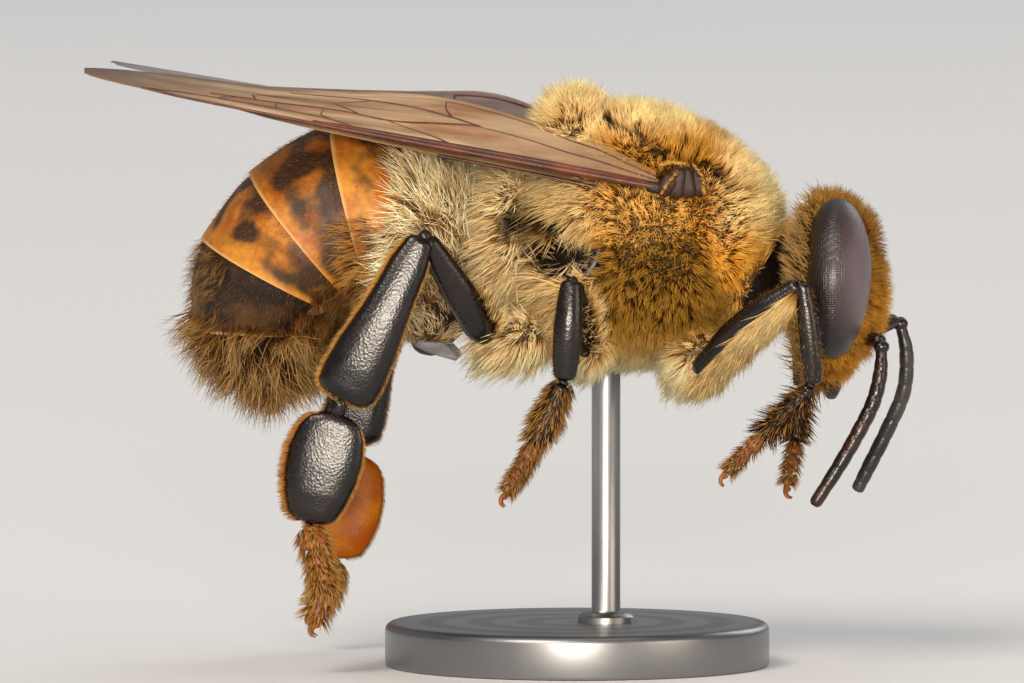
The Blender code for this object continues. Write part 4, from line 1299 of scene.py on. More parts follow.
JOINTS = {
    ("hind", Side.RIGHT): {"femur": [(-1.75, 1.9, 6.9), (-2.0, 2.3, 7.4), (-2.94, 3.02, 9.02)],
                           "tibia": [(-2.98, 3.15, 9.05), (-3.78, 3.28, 7.39), (-4.66, 3.22, 5.66)],
                           "basitarsus": [(-4.74, 3.2, 5.42), (-5.02, 3.15, 4.38), (-5.3, 3.1, 3.14)],
                           "tarsus": [(-5.32, 3.1, 3.1), (-5.15, 3.05, 2.38), (-5.05, 3.0, 1.72), (-5.34, 2.95, 0.9)]},
    ("hind", Side.LEFT): {"femur": [(-1.75, 1.9, 6.85), (-2.2, 2.3, 7.2), (-3.45, 3.02, 8.1)],
                          "tibia": [(-3.66, 3.15, 8.0), (-4.58, 3.28, 6.1), (-5.05, 3.22, 4.42)],
                          "basitarsus": [(-4.95, 3.2, 4.2), (-5.12, 3.15, 3.06), (-5.3, 3.1, 1.98)],
                          "tarsus": [(-5.32, 3.1, 1.94), (-5.42, 3.05, 1.5), (-5.54, 3.0, 1.17), (-5.7, 2.95, 0.92)]},
    ("middle", Side.RIGHT): {"femur": [(0.34, 2.1, 6.62), (0.24, 2.7, 7.2), (0.12, 3.4, 8.12)],
                             "tibia": [(0.1, 3.5, 8.2), (0.04, 3.6, 7.2), (-0.04, 3.5, 6.12)],
                             "basitarsus": [(-0.08, 3.5, 6.05), (-0.38, 3.44, 5.4), (-0.68, 3.4, 4.8)],
                             "tarsus": [(-0.68, 3.4, 4.8), (-0.9, 3.35, 4.34), (-1.12, 3.3, 3.98), (-1.3, 3.25, 3.76)]},
    ("middle", Side.LEFT): {"femur": [(0.34, 2.1, 6.58), (0.05, 2.7, 7.0), (-0.32, 3.4, 7.78)],
                            "tibia": [(-0.36, 3.5, 7.86), (-0.4, 3.6, 6.85), (-0.46, 3.5, 5.82)],
                            "basitarsus": [(-0.48, 3.5, 5.76), (-0.76, 3.44, 5.1), (-1.02, 3.4, 4.5)],
                            "tarsus": [(-1.02, 3.4, 4.5), (-1.24, 3.35, 4.07), (-1.43, 3.3, 3.73), (-1.58, 3.25, 3.54)]},
    ("front", Side.RIGHT): {"femur": [(2.6, 1.8, 6.2), (3.7, 2.62, 7.3), (4.74, 2.88, 8.08)],
                            "tibia": [(4.8, 2.9, 8.12), (4.96, 2.88, 7.0), (5.02, 2.8, 6.02)],
                            "basitarsus": [(4.98, 2.8, 5.98), (4.44, 2.74, 5.42), (4.0, 2.7, 4.96)],
                            "tarsus": [(4.0, 2.7, 4.96), (3.6, 2.66, 4.56), (3.38, 2.62, 4.34), (3.2, 2.6, 4.17)]},
    ("front", Side.LEFT): {"femur": [(2.6, 1.8, 6.2), (3.55, 2.62, 7.15), (4.34, 2.88, 7.84)],
                           "tibia": [(4.38, 2.9, 7.88), (4.54, 2.85, 6.8), (4.56, 2.75, 5.66)],
                           "basitarsus": [(4.55, 2.72, 5.6), (4.48, 2.7, 5.05), (4.42, 2.68, 4.54)],
                           "tarsus": [(4.42, 2.68, 4.54), (4.36, 2.64, 4.1), (4.3, 2.62, 3.8), (4.24, 2.6, 3.56)]},
}


@dataclass
class Leg:
    """A leg from femur to claws: shell pieces, foot joints, claws, and the hair on their edges."""

    pair: str
    side: Side

    def sweeps(self) -> dict[str, Sweep]:
        """The leg's long pieces as sweeps."""
        style = STYLES[self.pair]
        made = {}
        for piece in ("femur", "tibia", "basitarsus"):
            widths, thicks = getattr(style, piece)
            path = [(x, y * self.side.value, z) for x, y, z in JOINTS[self.pair, self.side][piece]]
            flat = 2.7 if self.pair == "hind" and piece != "femur" else 2.0
            made[piece] = Sweep(path, widths, thicks, 0.5 if piece != "basitarsus" else 0.45, power=flat)
        return made

    def foot(self) -> Shell:
        """Four cup-shaped foot joints, the last one longer, with two hooked claws and a pad between."""
        r = STYLES[self.pair].foot
        path = [(x, y * self.side.value, z) for x, y, z in JOINTS[self.pair, self.side]["tarsus"]]
        shell = Shell()
        marks = (0.0, 0.2, 0.38, 0.55, 0.93)
        for number, (a, b) in enumerate(zip(marks, marks[1:])):
            part = spline(path, np.linspace(a, b + 0.03, 3))
            big = (1.3, 1.15, 1.05, 0.95)[number] * r
            widths = tuple(big * k for k in ((0.5, 0.8, 1.1, 1.0) if number < 3 else (0.5, 0.6, 0.95, 0.9)))
            shell.loft(Sweep(part, widths, tuple(w * 0.8 for w in widths), 0.4).rings(14, 14))
        tip = spline(path, np.array([0.92]))[0]
        way = unit(tip - spline(path, np.array([0.7]))[0])
        cross = np.array([0, 1.0, 0])
        down = np.cross(way, cross)
        down = down if down[2] < 0 else -down
        for sign in (-1, 1):
            start = tip + cross * sign * r * 0.5
            hook = [start, start + way * 0.14 + cross * sign * 0.1, start + way * 0.24 + cross * sign * 0.14 + down * 0.07,
                    start + way * 0.25 + cross * sign * 0.13 + down * 0.18]
            shell.loft(Sweep(hook, (0.05, 0.045, 0.03, 0.012), (0.05, 0.045, 0.03, 0.012)).rings(14, 8))
        shell.ball(tip + way * 0.1 + down * 0.03, (0.08, 0.08, 0.06), None, 14, 10)
        return shell

    def edge_roots(self, sweep: Sweep, tile: tuple[int, int], count: int, seed: int, turns: tuple[float, float],
                   shares: tuple[float, float], length: float, tint: Sequence[float], sweep_on: float) -> Roots:
        """Hair roots on a limb.

        Args:
            sweep: the limb.
            tile: which of the map's 6 columns and 4 rows is this limb's own.
            count: how many.
            seed: for the scatter.
            turns: from and to, in degrees round the limb.
            shares: from and to, along the limb.
            length: of a hair, in mm.
            tint: their colour.
            sweep_on: how strongly they lie towards the foot.
        Returns:
            The roots.
        """
        rng = np.random.default_rng(seed)
        s = rng.uniform(*shares, count)
        turn = np.radians(rng.uniform(*turns, count))
        at, normal, along = sweep.surface(s, turn)
        colours = np.tile(np.array(tint), (count, 1)) * rng.uniform(0.7, 1.15, (count, 1))
        uv = np.column_stack([(tile[0] + (turn / (2 * math.pi)) % 1) / 6, (tile[1] + s) / 4])
        return Roots(at - normal * 0.01, normal, along * sweep_on, length * rng.uniform(0.6, 1.2, count), colours, uv)

    def hair(self, sweeps: dict[str, Sweep], seed: int) -> tuple[Roots, Roots]:
        """The hair of one leg: short fringes, down and foot bristles, and the long fringes."""
        gold, orange, dusk = (np.array(linear(code)) for code in ("#D9B068", "#B9782E", "#4A2E16"))
        path = [(x, y * self.side.value, z) for x, y, z in JOINTS[self.pair, self.side]["tarsus"]]
        r = STYLES[self.pair].foot
        sweeps = dict(sweeps, foot=Sweep(path, (r * 1.3, r), (r, r * 0.85)))
        short = {
            "hind": [("femur", 300, (0, 360), (0.1, 0.95), 0.12, BROWN, 1.2),
                     ("tibia", 2000, (158, 196), (0.03, 0.99), 0.16, gold * 1.15, 0.6), ("tibia", 1100, (-14, 12), (0.1, 0.99), 0.1, gold * 1.1, 0.7),
                     ("tibia", 700, (0, 360), (0.97, 1.0), 0.08, gold, 0.8), ("tibia", 700, (0, 360), (0.03, 0.98), 0.045, BROWN, 1.4),
                     ("basitarsus", 2200, (152, 202), (0.02, 0.99), 0.19, (orange + gold) / 2, 0.5), ("basitarsus", 1200, (-16, 14), (0.02, 0.99), 0.1, gold * 1.1, 0.7),
                     ("basitarsus", 800, (0, 360), (0.03, 0.99), 0.045, BROWN, 1.4), ("foot", 1100, (0, 360), (0.02, 0.9), 0.3, gold, 0.9)],
            "middle": [("tibia", 500, (0, 360), (0.05, 0.98), 0.06, BROWN, 1.4), ("tibia", 260, (150, 210), (0.1, 1.0), 0.12, gold, 1.0),
                       ("basitarsus", 700, (0, 360), (0.03, 0.99), 0.28, gold * 0.9, 1.0), ("basitarsus", 250, (0, 360), (0.03, 0.99), 0.22, dusk, 1.0),
                       ("foot", 700, (0, 360), (0.02, 0.9), 0.2, gold * 0.75, 1.1)],
            "front": [("femur", 500, (0, 360), (0.1, 0.98), 0.12, BROWN, 1.2), ("tibia", 400, (0, 360), (0.05, 0.98), 0.06, BROWN, 1.4),
                      ("tibia", 240, (0, 360), (0.05, 0.98), 0.13, gold, 1.0), ("basitarsus", 330, (0, 360), (0.03, 0.99), 0.36, dusk, 0.8),
                      ("basitarsus", 500, (0, 360), (0.03, 0.99), 0.26, gold * 0.75, 0.9), ("foot", 600, (0, 360), (0.02, 0.9), 0.2, gold * 0.75, 1.0)],
        }
        long = {
            "hind": [("femur", 260, (150, 230), (0.0, 0.6), 0.45, CREAM, 0.4)],
            "middle": [("femur", 500, (120, 260), (0.0, 0.8), 0.4, CREAM, 0.5)],
            "front": [("femur", 1500, (185, 260), (0.0, 0.97), 0.62, CREAM, -0.9), ("femur", 700, (150, 200), (0.0, 0.97), 0.5, STRAW, -0.7)],
        }
        made = []
        for shift, plans in ((0, short[self.pair]), (50, long[self.pair])):
            lots = [self.edge_roots(sweeps[piece], (seed - 1, list(sweeps).index(piece)), count, seed * 100 + shift + number,
                                    turns, shares, length, tint, on)
                    for number, (piece, count, turns, shares, length, tint, on) in enumerate(plans)]
            whole = lots[0]
            for lot in lots[1:]:
                whole = whole.joined(lot)
            made.append(whole)
        return made[0], made[1]

    def build(self, dark: bpy.types.Material, pale: bpy.types.Material, painted_backlight: bpy.types.Material) -> list[bpy.types.Object]:
        """Makes the leg's pieces; the far hind basitarsus takes a bright amber finish that paints in the light shining
        through it.
        """
        word = f"{self.pair}_{self.side.word}"
        pieces = []
        knuckle = STYLES[self.pair].foot * 0.85
        places = JOINTS[self.pair, self.side]
        for (name, sweep), below in zip(self.sweeps().items(), ("tibia", "basitarsus", "tarsus")):
            ends = np.array([places[name][-1], places[below][0]]) * [1, self.side.value, 1]
            # painted light: the far hind basitarsus takes a bright amber copy of the dark shell, for light shining
            # through it
            amber = name == "basitarsus" and self.pair == "hind" and self.side is Side.LEFT
            shell = Shell().loft(sweep.rings(34, 28))
            shell.loft(Sweep([ends[0] * 1.35 - ends[1] * 0.35, ends.mean(0), ends[1] * 1.35 - ends[0] * 0.35],
                             (knuckle,) * 3, (knuckle * 0.8,) * 3, 0.8).rings(12, 14))
            piece = shell.build(f"{name}_{word}", painted_backlight if amber else dark)
            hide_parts(f"leg_{word}_{name}")
            pieces.append(piece)
        foot = self.foot().build("foot_" + word, pale)
        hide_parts(f"leg_{word}_tarsus")
        return [*pieces, foot]


# ---------------------------------------------------------------------------------------------
# Wings
# ---------------------------------------------------------------------------------------------

@dataclass
class Wing:
    """A wing: a thin skin over a twisted blade, and the veins that stand out on it.

    Places on it are (share of the length, share of the chord from the front edge).
    """

    name: str
    side: Side
    root: Sequence[float]
    tip: Sequence[float]
    chords: Sequence[tuple[float, float]]      # share of the length, chord in mm
    fronts: Sequence[tuple[float, float]]      # share of the length, how far the front edge stands in, mm
    slopes: Sequence[tuple[float, float]]      # share of the length, slope in degrees
    veins: Sequence[tuple[float, Sequence[tuple[float, float]]]]  # radius in mm, then the path
    thick: float = 0.022
    lift: float = 1.0

    def place(self, s: np.ndarray, c: np.ndarray) -> tuple[np.ndarray, np.ndarray]:
        """Places on the blade's middle layer, and its normals.

        Args:
            s: shares of the length.
            c: shares of the chord.
        Returns:
            Places in mm and normals.
        """
        start = np.array([self.root[0], self.root[1] * self.side.value, self.root[2]])
        end = np.array([self.tip[0], self.tip[1] * self.side.value, self.tip[2]])
        along = unit(end - start)
        chord = np.interp(s, *zip(*self.chords))
        front = np.interp(s, *zip(*self.fronts))
        slope = np.radians(np.interp(s, *zip(*self.slopes))) * (1 + (self.lift - 1) * np.exp(-((s - 0.28) / 0.1) ** 2))
        inward = np.column_stack([np.zeros_like(s), -self.side.value * np.cos(slope), np.sin(slope)])
        inward = unit(inward - np.outer(inward @ along, along))
        normal = unit(np.cross(np.broadcast_to(along, inward.shape), inward))
        normal = normal * np.sign(normal[:, 2:3])
        ribbing = 0.035 * np.sin(c * 17) * np.sin(np.pi * np.clip(s, 0, 1)) * (1 - c) + 0.05 * np.sin(np.pi * c)
        at = start + np.outer(s * np.linalg.norm(end - start), along) + inward * (front + c * chord)[:, None]
        return at + normal * ribbing[:, None], normal

    def blade(self, rows: int = 90, across: int = 26) -> Shell:
        """The skin as a thin closed shell."""
        s = 0.5 - 0.5 * np.cos(np.linspace(0.0, 1.0, rows) * math.pi)
        c = np.linspace(0, 1, across)
        grid_s, grid_c = np.repeat(s, across), np.tile(c, rows)
        middle, normal = self.place(grid_s, grid_c)
        edge = 0.25 + 0.75 * np.minimum(1, np.minimum(grid_c, 1 - grid_c) * 8)
        half = normal * (self.thick / 2 * edge)[:, None]
        upper = (middle + half).reshape(rows, across, 3)
        lower = (middle - half).reshape(rows, across, 3)
        return Shell().loft(np.concatenate([upper, lower[:, ::-1]], 1))

    def vein_lines(self) -> list[tuple[float, np.ndarray]]:
        """Each vein's radius and its path in mm."""
        lines = []
        for radius, path in self.veins:
            flat = spline([(s, c, 0) for s, c in path], np.linspace(0, 1, 10 * len(path)))
            lines.append((radius, self.place(flat[:, 0], flat[:, 1])[0]))
        return lines

    def build(self, film: bpy.types.Material, vein: bpy.types.Material, tree: bpy.types.GeometryNodeTree) -> list[bpy.types.Object]:
        """Makes the wing's skin and its veins."""
        skin = self.blade().build(f"{self.name}_skin_{self.side.word}", film)
        along = self.tip[0] - self.root[0]
        share = np.array([(v.co.x / MM - self.root[0]) / along for v in skin.data.vertices])
        skin.data.attributes.new("tip", "FLOAT", "POINT").data.foreach_set("value", np.maximum(0.8 * smoothstep(0.72, 0.99, share), 0.45 * smoothstep(0.42, 0.05, share)))
        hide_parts(f"{self.name}_{self.side.word}")
        veins = tubes(f"{self.name}_veins_{self.side.word}", self.vein_lines(), vein, tree)
        return [skin, veins]


def tube_tree() -> bpy.types.GeometryNodeTree:
    """Geometry Nodes that turn the edges of a mesh into closed tubes of each point's own radius."""
    tree = bpy.data.node_groups.new("tubes_on_paths", "GeometryNodeTree")
    face = tree.interface
    face.new_socket("Geometry", in_out="INPUT", socket_type="NodeSocketGeometry")
    face.new_socket("Sides", in_out="INPUT", socket_type="NodeSocketInt")
    face.new_socket("Material", in_out="INPUT", socket_type="NodeSocketMaterial")
    face.new_socket("Geometry", in_out="OUTPUT", socket_type="NodeSocketGeometry")
    given = node(tree, "NodeGroupInput").outputs
    lines = node(tree, "GeometryNodeMeshToCurve", None, Mesh=given["Geometry"]).outputs[0]
    radius = node(tree, "GeometryNodeInputNamedAttribute", {"data_type": "FLOAT"}, Name="thin").outputs["Attribute"]
    circle = node(tree, "GeometryNodeCurvePrimitiveCircle", None, Resolution=given["Sides"], Radius=1.0).outputs[0]
    tube = node(tree, "GeometryNodeCurveToMesh", None, Curve=lines, Profile_Curve=circle, Scale=radius, Fill_Caps=True)
    solid = node(tree, "GeometryNodeRealizeInstances", None, Geometry=tube.outputs[0])
    dressed = node(tree, "GeometryNodeSetMaterial", None, Geometry=solid.outputs[0], Material=given["Material"])
    node(tree, "NodeGroupOutput", None, Geometry=dressed.outputs[0])
    return tree


def tubes(name: str, lines: Sequence[tuple[float, np.ndarray]], material: bpy.types.Material,
          tree: bpy.types.GeometryNodeTree) -> bpy.types.Object:
    """Makes one piece of closed tubes.

    Args:
        name: the piece's name.
        lines: each tube's radius at its start and its path, in mm; a tube narrows to two thirds.
        material: its finish.
        tree: the tree from tube_tree.
    Returns:
        The piece.
    """
    points, edges, thin = [], [], []
    for radius, path in lines:
        start = len(points)
        points += (path * MM).tolist()
        edges += [(start + i, start + i + 1) for i in range(len(path) - 1)]
        thin += (np.linspace(1, 0.66, len(path)) * radius * MM).tolist()
    mesh = bpy.data.meshes.new(name + "_paths")
    mesh.from_pydata(points, edges, [])
    mesh.attributes.new("thin", "FLOAT", "POINT").data.foreach_set("value", thin)
    carrier = bpy.data.objects.new(name + "_paths", mesh)
    bpy.context.scene.collection.objects.link(carrier)
    modifier = carrier.modifiers.new("tubes", "NODES")
    modifier.node_group = tree
    modifier[tree.interface.items_tree["Sides"].identifier] = 8
    modifier[tree.interface.items_tree["Material"].identifier] = material
    graph = bpy.context.evaluated_depsgraph_get()
    made = bpy.data.meshes.new_from_object(carrier.evaluated_get(graph))
    bpy.data.objects.remove(carrier)
    made.name = name
    made.shade_smooth()
    piece = bpy.data.objects.new(name, made)
    bpy.context.scene.collection.objects.link(piece)
    return piece


FORE_VEINS = (
    (0.085, ((0.0, 0.03), (0.15, 0.02), (0.35, 0.01), (0.55, 0.0))),
    (0.06, ((0.0, 0.14), (0.15, 0.1), (0.35, 0.06), (0.52, 0.04), (0.6, 0.02))),
    (0.034, ((0.55, 0.0), (0.7, 0.0), (0.82, 0.0), (0.9, 0.02))),
    (0.034, ((0.53, 0.05), (0.6, 0.15), (0.7, 0.19), (0.8, 0.15), (0.89, 0.03))),
    (0.03, ((0.0, 0.34), (0.12, 0.42), (0.22, 0.47), (0.31, 0.5))),
    (0.036, ((0.31, 0.5), (0.4, 0.38), (0.47, 0.33), (0.56, 0.38), (0.66, 0.37), (0.78, 0.33))),
    (0.036, ((0.31, 0.5), (0.42, 0.66), (0.52, 0.73), (0.64, 0.76))),
    (0.03, ((0.36, 0.07), (0.42, 0.22), (0.47, 0.33))),
    (0.028, ((0.57, 0.12), (0.585, 0.25), (0.58, 0.38))),
    (0.028, ((0.66, 0.18), (0.665, 0.28), (0.66, 0.37))),
    (0.028, ((0.76, 0.17), (0.76, 0.26), (0.73, 0.35))),
    (0.028, ((0.52, 0.36), (0.56, 0.55), (0.5, 0.72))),
    (0.028, ((0.7, 0.36), (0.7, 0.52), (0.63, 0.6), (0.56, 0.56))),
    (0.03, ((0.0, 0.55), (0.12, 0.78), (0.25, 0.88), (0.37, 0.89))),
    (0.028, ((0.36, 0.6), (0.37, 0.74), (0.37, 0.89))),
)
HIND_VEINS = (
    (0.05, ((0.0, 0.06), (0.2, 0.03), (0.45, 0.0))),
    (0.028, ((0.0, 0.25), (0.25, 0.24), (0.45, 0.12), (0.7, 0.08))),
    (0.028, ((0.0, 0.5), (0.2, 0.55), (0.4, 0.56), (0.62, 0.6))),
    (0.03, ((0.38, 0.17), (0.4, 0.4), (0.4, 0.56))),
    (0.03, ((0.0, 0.7), (0.2, 0.8), (0.38, 0.88))),
)


def fore_wing(side: Side) -> Wing:
    """The fore wing on one side."""
    return Wing(
        "forewing", side, (1.75, 2.55, 10.05), (-9.86, 4.0, 12.3),
        ((0, 0.5), (0.08, 0.95), (0.15, 1.45), (0.22, 1.95), (0.34, 2.65), (0.41, 2.95), (0.53, 3.3), (0.68, 3.25),
         (0.84, 2.8), (0.93, 2.15), (0.97, 1.6), (0.99, 1.1), (1, 0.6)),
        ((0, 0.0), (0.3, -0.06), (0.62, -0.08), (0.84, 0.06), (0.93, 0.25), (0.97, 0.45), (0.99, 0.65), (1, 0.9)),
        ((0, 40), (0.08, 40), (0.15, 28), (0.34, 21), (0.41, 18), (0.53, 12), (0.68, 7), (1, 5)),
        FORE_VEINS, lift=1.0 if side is Side.RIGHT else 1.3)


def hind_wing(side: Side) -> Wing:
    """The hind wing on one side, folded in under the fore wing."""
    return Wing(
        "hindwing", side, (0.8, 2.3, 9.95), (-7.0, 3.05, 11.62),
        ((0, 0.45), (0.1, 1.0), (0.25, 1.7), (0.45, 1.95), (0.7, 1.85), (0.9, 1.2), (0.97, 0.7), (1, 0.2)),
        ((0, 0.0), (0.8, 0.0), (0.9, 0.12), (0.97, 0.35), (1, 0.6)),
        ((0, 34), (0.2, 26), (0.45, 18), (1, 8)), HIND_VEINS)


# ---------------------------------------------------------------------------------------------
# Small parts, stand and studio
# ---------------------------------------------------------------------------------------------

def hinge_combs(barber: Barber) -> bpy.types.Object:
    """Rows of stiff golden hair across the plates over the wing roots."""
    rng = np.random.default_rng(88)
    gold = np.array(linear("#E0B45C"))
    lots = []
    for line, count, length in ((((2.26, 2.72, 10.34), (2.08, 2.77, 10.12), (1.94, 2.7, 9.9)), 150, 0.14),
                                (((1.92, 2.62, 10.46), (2.16, 2.66, 10.52), (2.42, 2.62, 10.5)), 150, 0.2),
                                (((2.6, 2.6, 10.5), (2.8, 2.62, 10.24), (2.84, 2.6, 9.9)), 140, 0.2)):
        for side in Side:
            at = spline(line, rng.random(count)) + rng.normal(0, 0.015, (count, 3))
            at[:, 1] *= side.value
            normal = np.tile([0.0, side.value * 1.0, 0.0], (count, 1))
            lie = np.tile([-0.5, 0.0, 0.5], (count, 1))
            uv = np.column_stack([0.25 + 0.5 * (side is Side.LEFT) + (at[:, 0] - 2.4) / 3, (at[:, 2] - 9.6) / 1.2])
            lots.append(Roots(at, normal, lie, length * rng.uniform(0.7, 1.1, count),
                              gold * rng.uniform(0.7, 1.1, (count, 1)), uv))
    whole = lots[0]
    for lot in lots[1:]:
        whole = whole.joined(lot)
    return barber.grow("coat_hinge_combs", whole, Hair.BRISTLE, 89, 0.2, 0.15, 6)


def slab(centre: Sequence[float], half: tuple[float, float], lean: float, side: Side) -> np.ndarray:
    """Rings of a flat plate with rounded corners and a soft edge, that faces sideways.

    Args:
        centre: the middle of its outer face.
        half: half its width and half its height, in mm.
        lean: how far it leans back, in degrees.
        side: which side it faces.
    Returns:
        The rings, from its inner face out to its slightly domed outer one.
    """
    a = math.radians(lean)
    across, up = np.array([math.cos(a), 0, -math.sin(a)]), np.array([math.sin(a), 0, math.cos(a)])
    rings = []
    for out, size in ((-0.12, 1.0), (-0.05, 1.03), (-0.02, 1.0), (0.0, 0.93), (0.02, 0.8), (0.03, 0.4)):
        middle = np.asarray(centre) + [0, out * side.value, 0]
        rings.append(ellipse_ring(middle, across, up, half[0] * size, half[1] * size, half[1] * size * 0.9, 40, 3.2))
    return np.array(rings)


def small_parts(dark: bpy.types.Material) -> list[bpy.types.Object]:
    """The plates over the wing roots, the flank ridges, the jaws and the three small eyes."""
    pieces = []
    hinge = DarkShell("cuticle_hinge", "#120804", "#40200E", 0.46, 0.06, 0.3).make()
    ridge = Shell()
    for side in Side:
        y = side.value
        plate = Shell()
        for x, z, depth, half, lean in ((2.62, 10.12, 2.5, (0.15, 0.27), -24), (2.42, 10.14, 2.54, (0.17, 0.33), -10),
                                        (2.2, 10.13, 2.58, (0.18, 0.34), 10), (2.0, 10.08, 2.62, (0.16, 0.24), 34),
                                        (1.78, 10.04, 2.6, (0.24, 0.12), 12)):
            plate.loft(slab((x, depth * y, z), half, lean, side))
        tegula = plate.build("wing_hinge_" + side.word, hinge)
        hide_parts("tegula_" + side.word)
        path = [(5.25, 0.56 * y, 6.1), (5.3, 0.44 * y, 5.8), (5.28, 0.16 * y, 5.6)]
        jaw = Shell().loft(Sweep(path, (0.2, 0.18, 0.1), (0.1, 0.09, 0.06)).rings(18, 16)).build("jaw_" + side.word, dark)
        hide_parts("mandible_" + side.word)
        pieces += [tegula, jaw]
        path = [(0.86, 1.95 * y, 9.1), (0.62, 2.1 * y, 8.8), (0.48, 2.16 * y, 8.45), (0.26, 2.2 * y, 8.1)]
        ridge.loft(Sweep(path, (0.04, 0.1, 0.11, 0.06), (0.04, 0.07, 0.07, 0.04)).rings(24, 16))
    beads = Shell()
    for x, y, z in ((6.1, 0.0, 8.5), (5.98, 0.2, 8.78), (5.98, -0.2, 8.78)):
        beads.ball((x, y, z), (0.11, 0.11, 0.11), None, 20, 14)
    grey = DarkShell("cuticle_blue_grey", "#0C0D10", "#22242A", 0.34, 0.06).make()
    return [*pieces, beads.build("small_eyes", dark), ridge.build("flank_ridges", grey)]


@dataclass
class Stand:
    """A turned steel foot with a rounded edge and a low collar, and the rod that holds the bee."""

    radius: float = 4.0
    thick: float = 0.9
    rod_x: float = 0.6
    rod_radius: float = 0.3
    rod_top: float = 8.4

    def turned(self, profile: Sequence[tuple[float, float]], x: float, sides: int = 160) -> np.ndarray:
        """Rings about a vertical axis at x, from (radius, height) pairs."""
        turn = np.linspace(0, 2 * math.pi, sides, endpoint=False)
        return np.array([np.column_stack([x + r * np.cos(turn), r * np.sin(turn), np.full(sides, z)]) for r, z in profile])

    def build(self) -> list[bpy.types.Object]:
        """Makes the foot and the rod."""
        steel = BrushedSteel().make()
        r, h = self.radius, self.thick
        bend = [(r - 0.16 + 0.16 * math.cos(a), h - 0.16 + 0.16 * math.sin(a)) for a in np.linspace(0, math.pi / 2, 9)]
        foot_profile = [(r - 0.08, 0.0), (r - 0.02, 0.02), (r, 0.08), *bend, (r * 0.5, h), (self.rod_radius + 0.3, h)]
        foot = Shell().loft(self.turned(foot_profile, 0.0)).build("stand_foot", steel)
        k, top = self.rod_radius, self.rod_top
        rod_profile = [(k + 0.28, h - 0.02), (k + 0.28, h + 0.12), (k + 0.2, h + 0.2), (k + 0.02, h + 0.22), (k, h + 0.26),
                       (k, top * 0.5), (k, top - 0.1), (k * 0.7, top)]
        rod = Shell().loft(self.turned(rod_profile, self.rod_x, 48)).build("stand_upright", steel)
        for piece, name in ((foot, "stand_base"), (rod, "stand_rod")):
            piece.data.set_sharp_from_angle(angle=math.radians(40))
            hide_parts(name)
        return [foot, rod]


@dataclass
class Studio:
    """Pale floor, soft lights all round and a long lens at the height of the bee."""

    target: Sequence[float] = (-1.36, 0.0, 6.74)
    view_width: float = 21.3
    azimuth: float = 4.0
    elevation: float = 3.0
    distance: float = 220.0

    def floor(self) -> bpy.types.Object:
        """A wide pale floor."""
        mesh = bpy.data.meshes.new("floor")
        reach = 4.0
        mesh.from_pydata([(-reach, -reach, 0), (reach, -reach, 0), (reach, reach, 0), (-reach, reach, 0)], [], [(0, 1, 2, 3)])
        mesh.materials.append(StudioFloor().make())
        made = bpy.data.objects.new("floor", mesh)
        bpy.context.scene.collection.objects.link(made)
        return made

    def light(self, name: str, at: Sequence[float], size: float, power: float, colour: str = "#FFFFFF") -> None:
        """A soft square light that faces the bee; places and sizes in mm."""
        data = bpy.data.lights.new(name, "AREA")
        data.size = size * MM
        data.energy = power
        data.color = linear(colour)
        made = bpy.data.objects.new(name, data)
        made.location = Vector(at) * MM
        made.rotation_euler = (Vector(self.target) * MM - made.location).to_track_quat("-Z", "Y").to_euler()
        bpy.context.scene.collection.objects.link(made)

    def camera(self) -> None:
        """A camera on the bee's right side, as far off as makes it nearly parallel."""
        data = bpy.data.cameras.new("camera")
        data.sensor_width = 36.0
        data.lens = 36.0 * self.distance / self.view_width
        data.clip_start = 0.005
        data.clip_end = 20.0
        made = bpy.data.objects.new("camera", data)
        a, e = math.radians(self.azimuth), math.radians(self.elevation)
        back = Vector((math.sin(a) * math.cos(e), -math.cos(a) * math.cos(e), math.sin(e)))
        made.location = (Vector(self.target) + back * self.distance) * MM
        made.rotation_euler = back.to_track_quat("Z", "Y").to_euler()
        bpy.context.scene.collection.objects.link(made)
        bpy.context.scene.camera = made

    def build(self) -> None:
        """Sets up floor, lights, world and camera."""
        self.floor()
        self.light("key", (-600, -1300, 1200), 800, 21.0, "#FFF1E0")
        self.light("front", (60, -1850, 110), 560, 44.0, "#FFF1E0")
        self.light("fill", (1500, -900, 300), 900, 9.0, "#FFEBD2")
        self.light("top", (100, 500, 2000), 1800, 9.0)
        self.light("back", (900, 1500, 900), 900, 6.0)
        world = bpy.data.worlds.new("studio")
        world.use_nodes = True
        background = world.node_tree.nodes["Background"]
        background.inputs["Color"].default_value = (*linear("#E9ECEF"), 1)
        background.inputs["Strength"].default_value = 0.3
        bpy.context.scene.world = world
        bpy.context.scene.view_settings.view_transform = "Standard"
        self.camera()


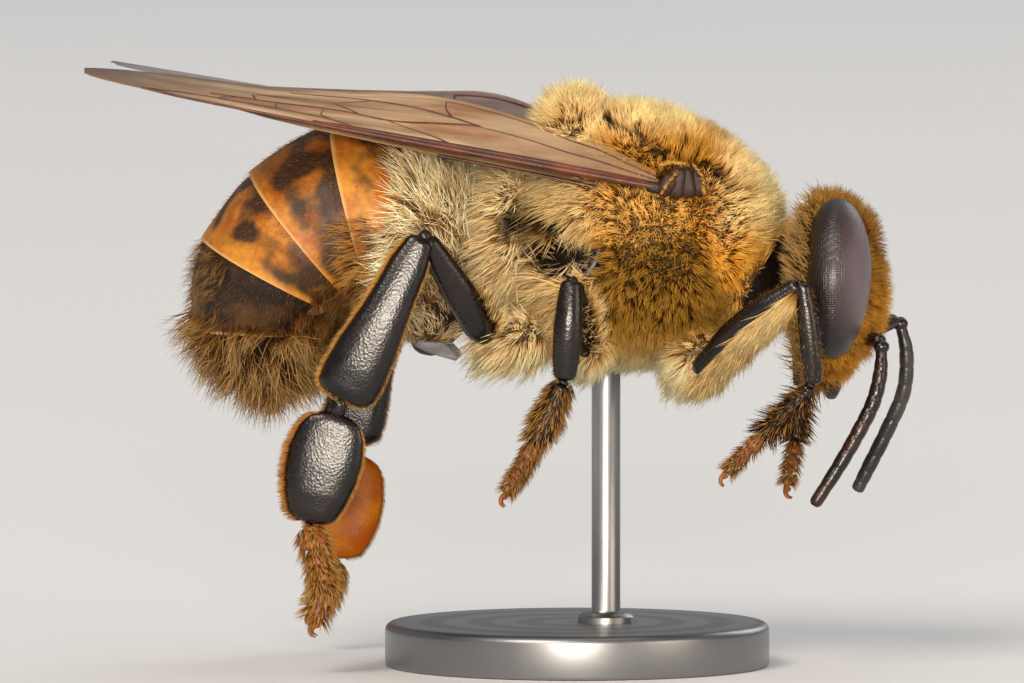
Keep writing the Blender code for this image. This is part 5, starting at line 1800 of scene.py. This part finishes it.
def main() -> None:
    """Builds the bee, its stand and the studio, and says what each part came to."""
    logging.basicConfig(level=logging.INFO, format="%(message)s")
    dark = DarkShell("cuticle_black").make()
    brown = DarkShell("cuticle_brown", "#120806", "#3A1C10", 0.26, 0.06).make()
    amber = DarkShell("cuticle_amber_foot", "#6E3C10", "#A8682A", 0.34, 0.05, 0.35).make()
    # painted light: a bright amber copy of the leg shell, for the far hind basitarsus with light shining through it
    painted_backlight = DarkShell("cuticle_amber_lit", "#9A4A00", "#CC8000", 0.34, 0.05, 0.15).make()
    barber = Barber(Fur().make())
    slots = []
    body = Body(barber).build()
    slots += [(piece, "coat") for piece in body]
    abdomen = Abdomen(barber).build()
    slots += [(piece, "shell_amber") for piece in abdomen[:8]]
    slots += [(abdomen[8], "coat")] + [(piece, "coat_brown") for piece in abdomen[9:]]
    lens = EyeLens().make()
    slots += [(Eye(side).build(lens), "eye") for side in Side]
    near = Feeler(Side.RIGHT, ((5.85, 0.42, 6.76), (6.12, 0.8, 6.84), (6.36, 1.4, 6.86)),
                  ((6.38, 1.55, 6.74), (6.36, 1.62, 6.2), (6.22, 1.7, 5.61), (5.93, 1.78, 5.01), (5.53, 1.85, 4.31), (4.99, 1.93, 3.46)))
    far = Feeler(Side.LEFT, ((5.85, 0.42, 6.86), (6.25, 0.75, 7.02), (6.58, 1.2, 7.16)),
                 ((6.67, 1.3, 7.07), (6.8, 1.34, 6.45), (6.74, 1.4, 5.65), (6.4, 1.48, 4.84), (6.0, 1.55, 4.04), (5.75, 1.6, 3.54)))
    # painted sheen: the far feeler's rings take a grey copy of the brown shell, for the glossy shine seen along them
    far_feeler_painted_sheen = DarkShell("cuticle_grey_feeler", "#1D1A1A", "#4A4442", 0.3, 0.04).make()
    for feeler, rings in ((near, brown), (far, far_feeler_painted_sheen)):
        slots += [(piece, "shell_dark") for piece in feeler.build(brown, rings)]
    hairs = []
    for number, (pair, side) in enumerate(JOINTS):
        leg = Leg(pair, side)
        pieces = leg.build(dark, amber, painted_backlight)
        slots += [(piece, "shell_dark") for piece in pieces[:3]] + [(pieces[3], "foot")]
        hairs.append(leg.hair(leg.sweeps(), number + 1))
    for which, (name, kind) in enumerate((("coat_legs", Hair.BRISTLE), ("coat_leg_fringes", Hair.PLUME))):
        whole = hairs[0][which]
        for pair_of in hairs[1:]:
            whole = whole.joined(pair_of[which])
        slots.append((barber.grow(name, whole, kind, 71 + which, 0.2, 0.2, 8), "coat"))
    vein = DarkShell("wing_vein", "#3A1808", "#7A3614", 0.36, 0.06).make()
    # The far wing's lilac colours are a painted sheen: the pink oil-film shine seen on it, put into its base colour;
    # the wing itself is tan like the near one.
    films = {Side.RIGHT: Membrane().make(), Side.LEFT: Membrane("wing_membrane_far", "#8C6C72", "#C2A49E", 0.66, 300.0, 1.8, 0.9).make()}
    paths = tube_tree()
    for side in Side:
        for wing in (fore_wing(side), hind_wing(side)):
            slots += [(piece, "wing") for piece in wing.build(films[side], vein, paths)]
    slots += [(piece, "shell_dark") for piece in small_parts(brown)]
    slots.append((hinge_combs(barber), "coat"))
    slots += [(piece, "stand") for piece in Stand().build()]
    for piece, slot in slots:
        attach(piece, "root")
        LOG.info("%s: %d faces", piece.name, len(piece.data.polygons))
    Studio().build()


if __name__ == "__main__":
    main()
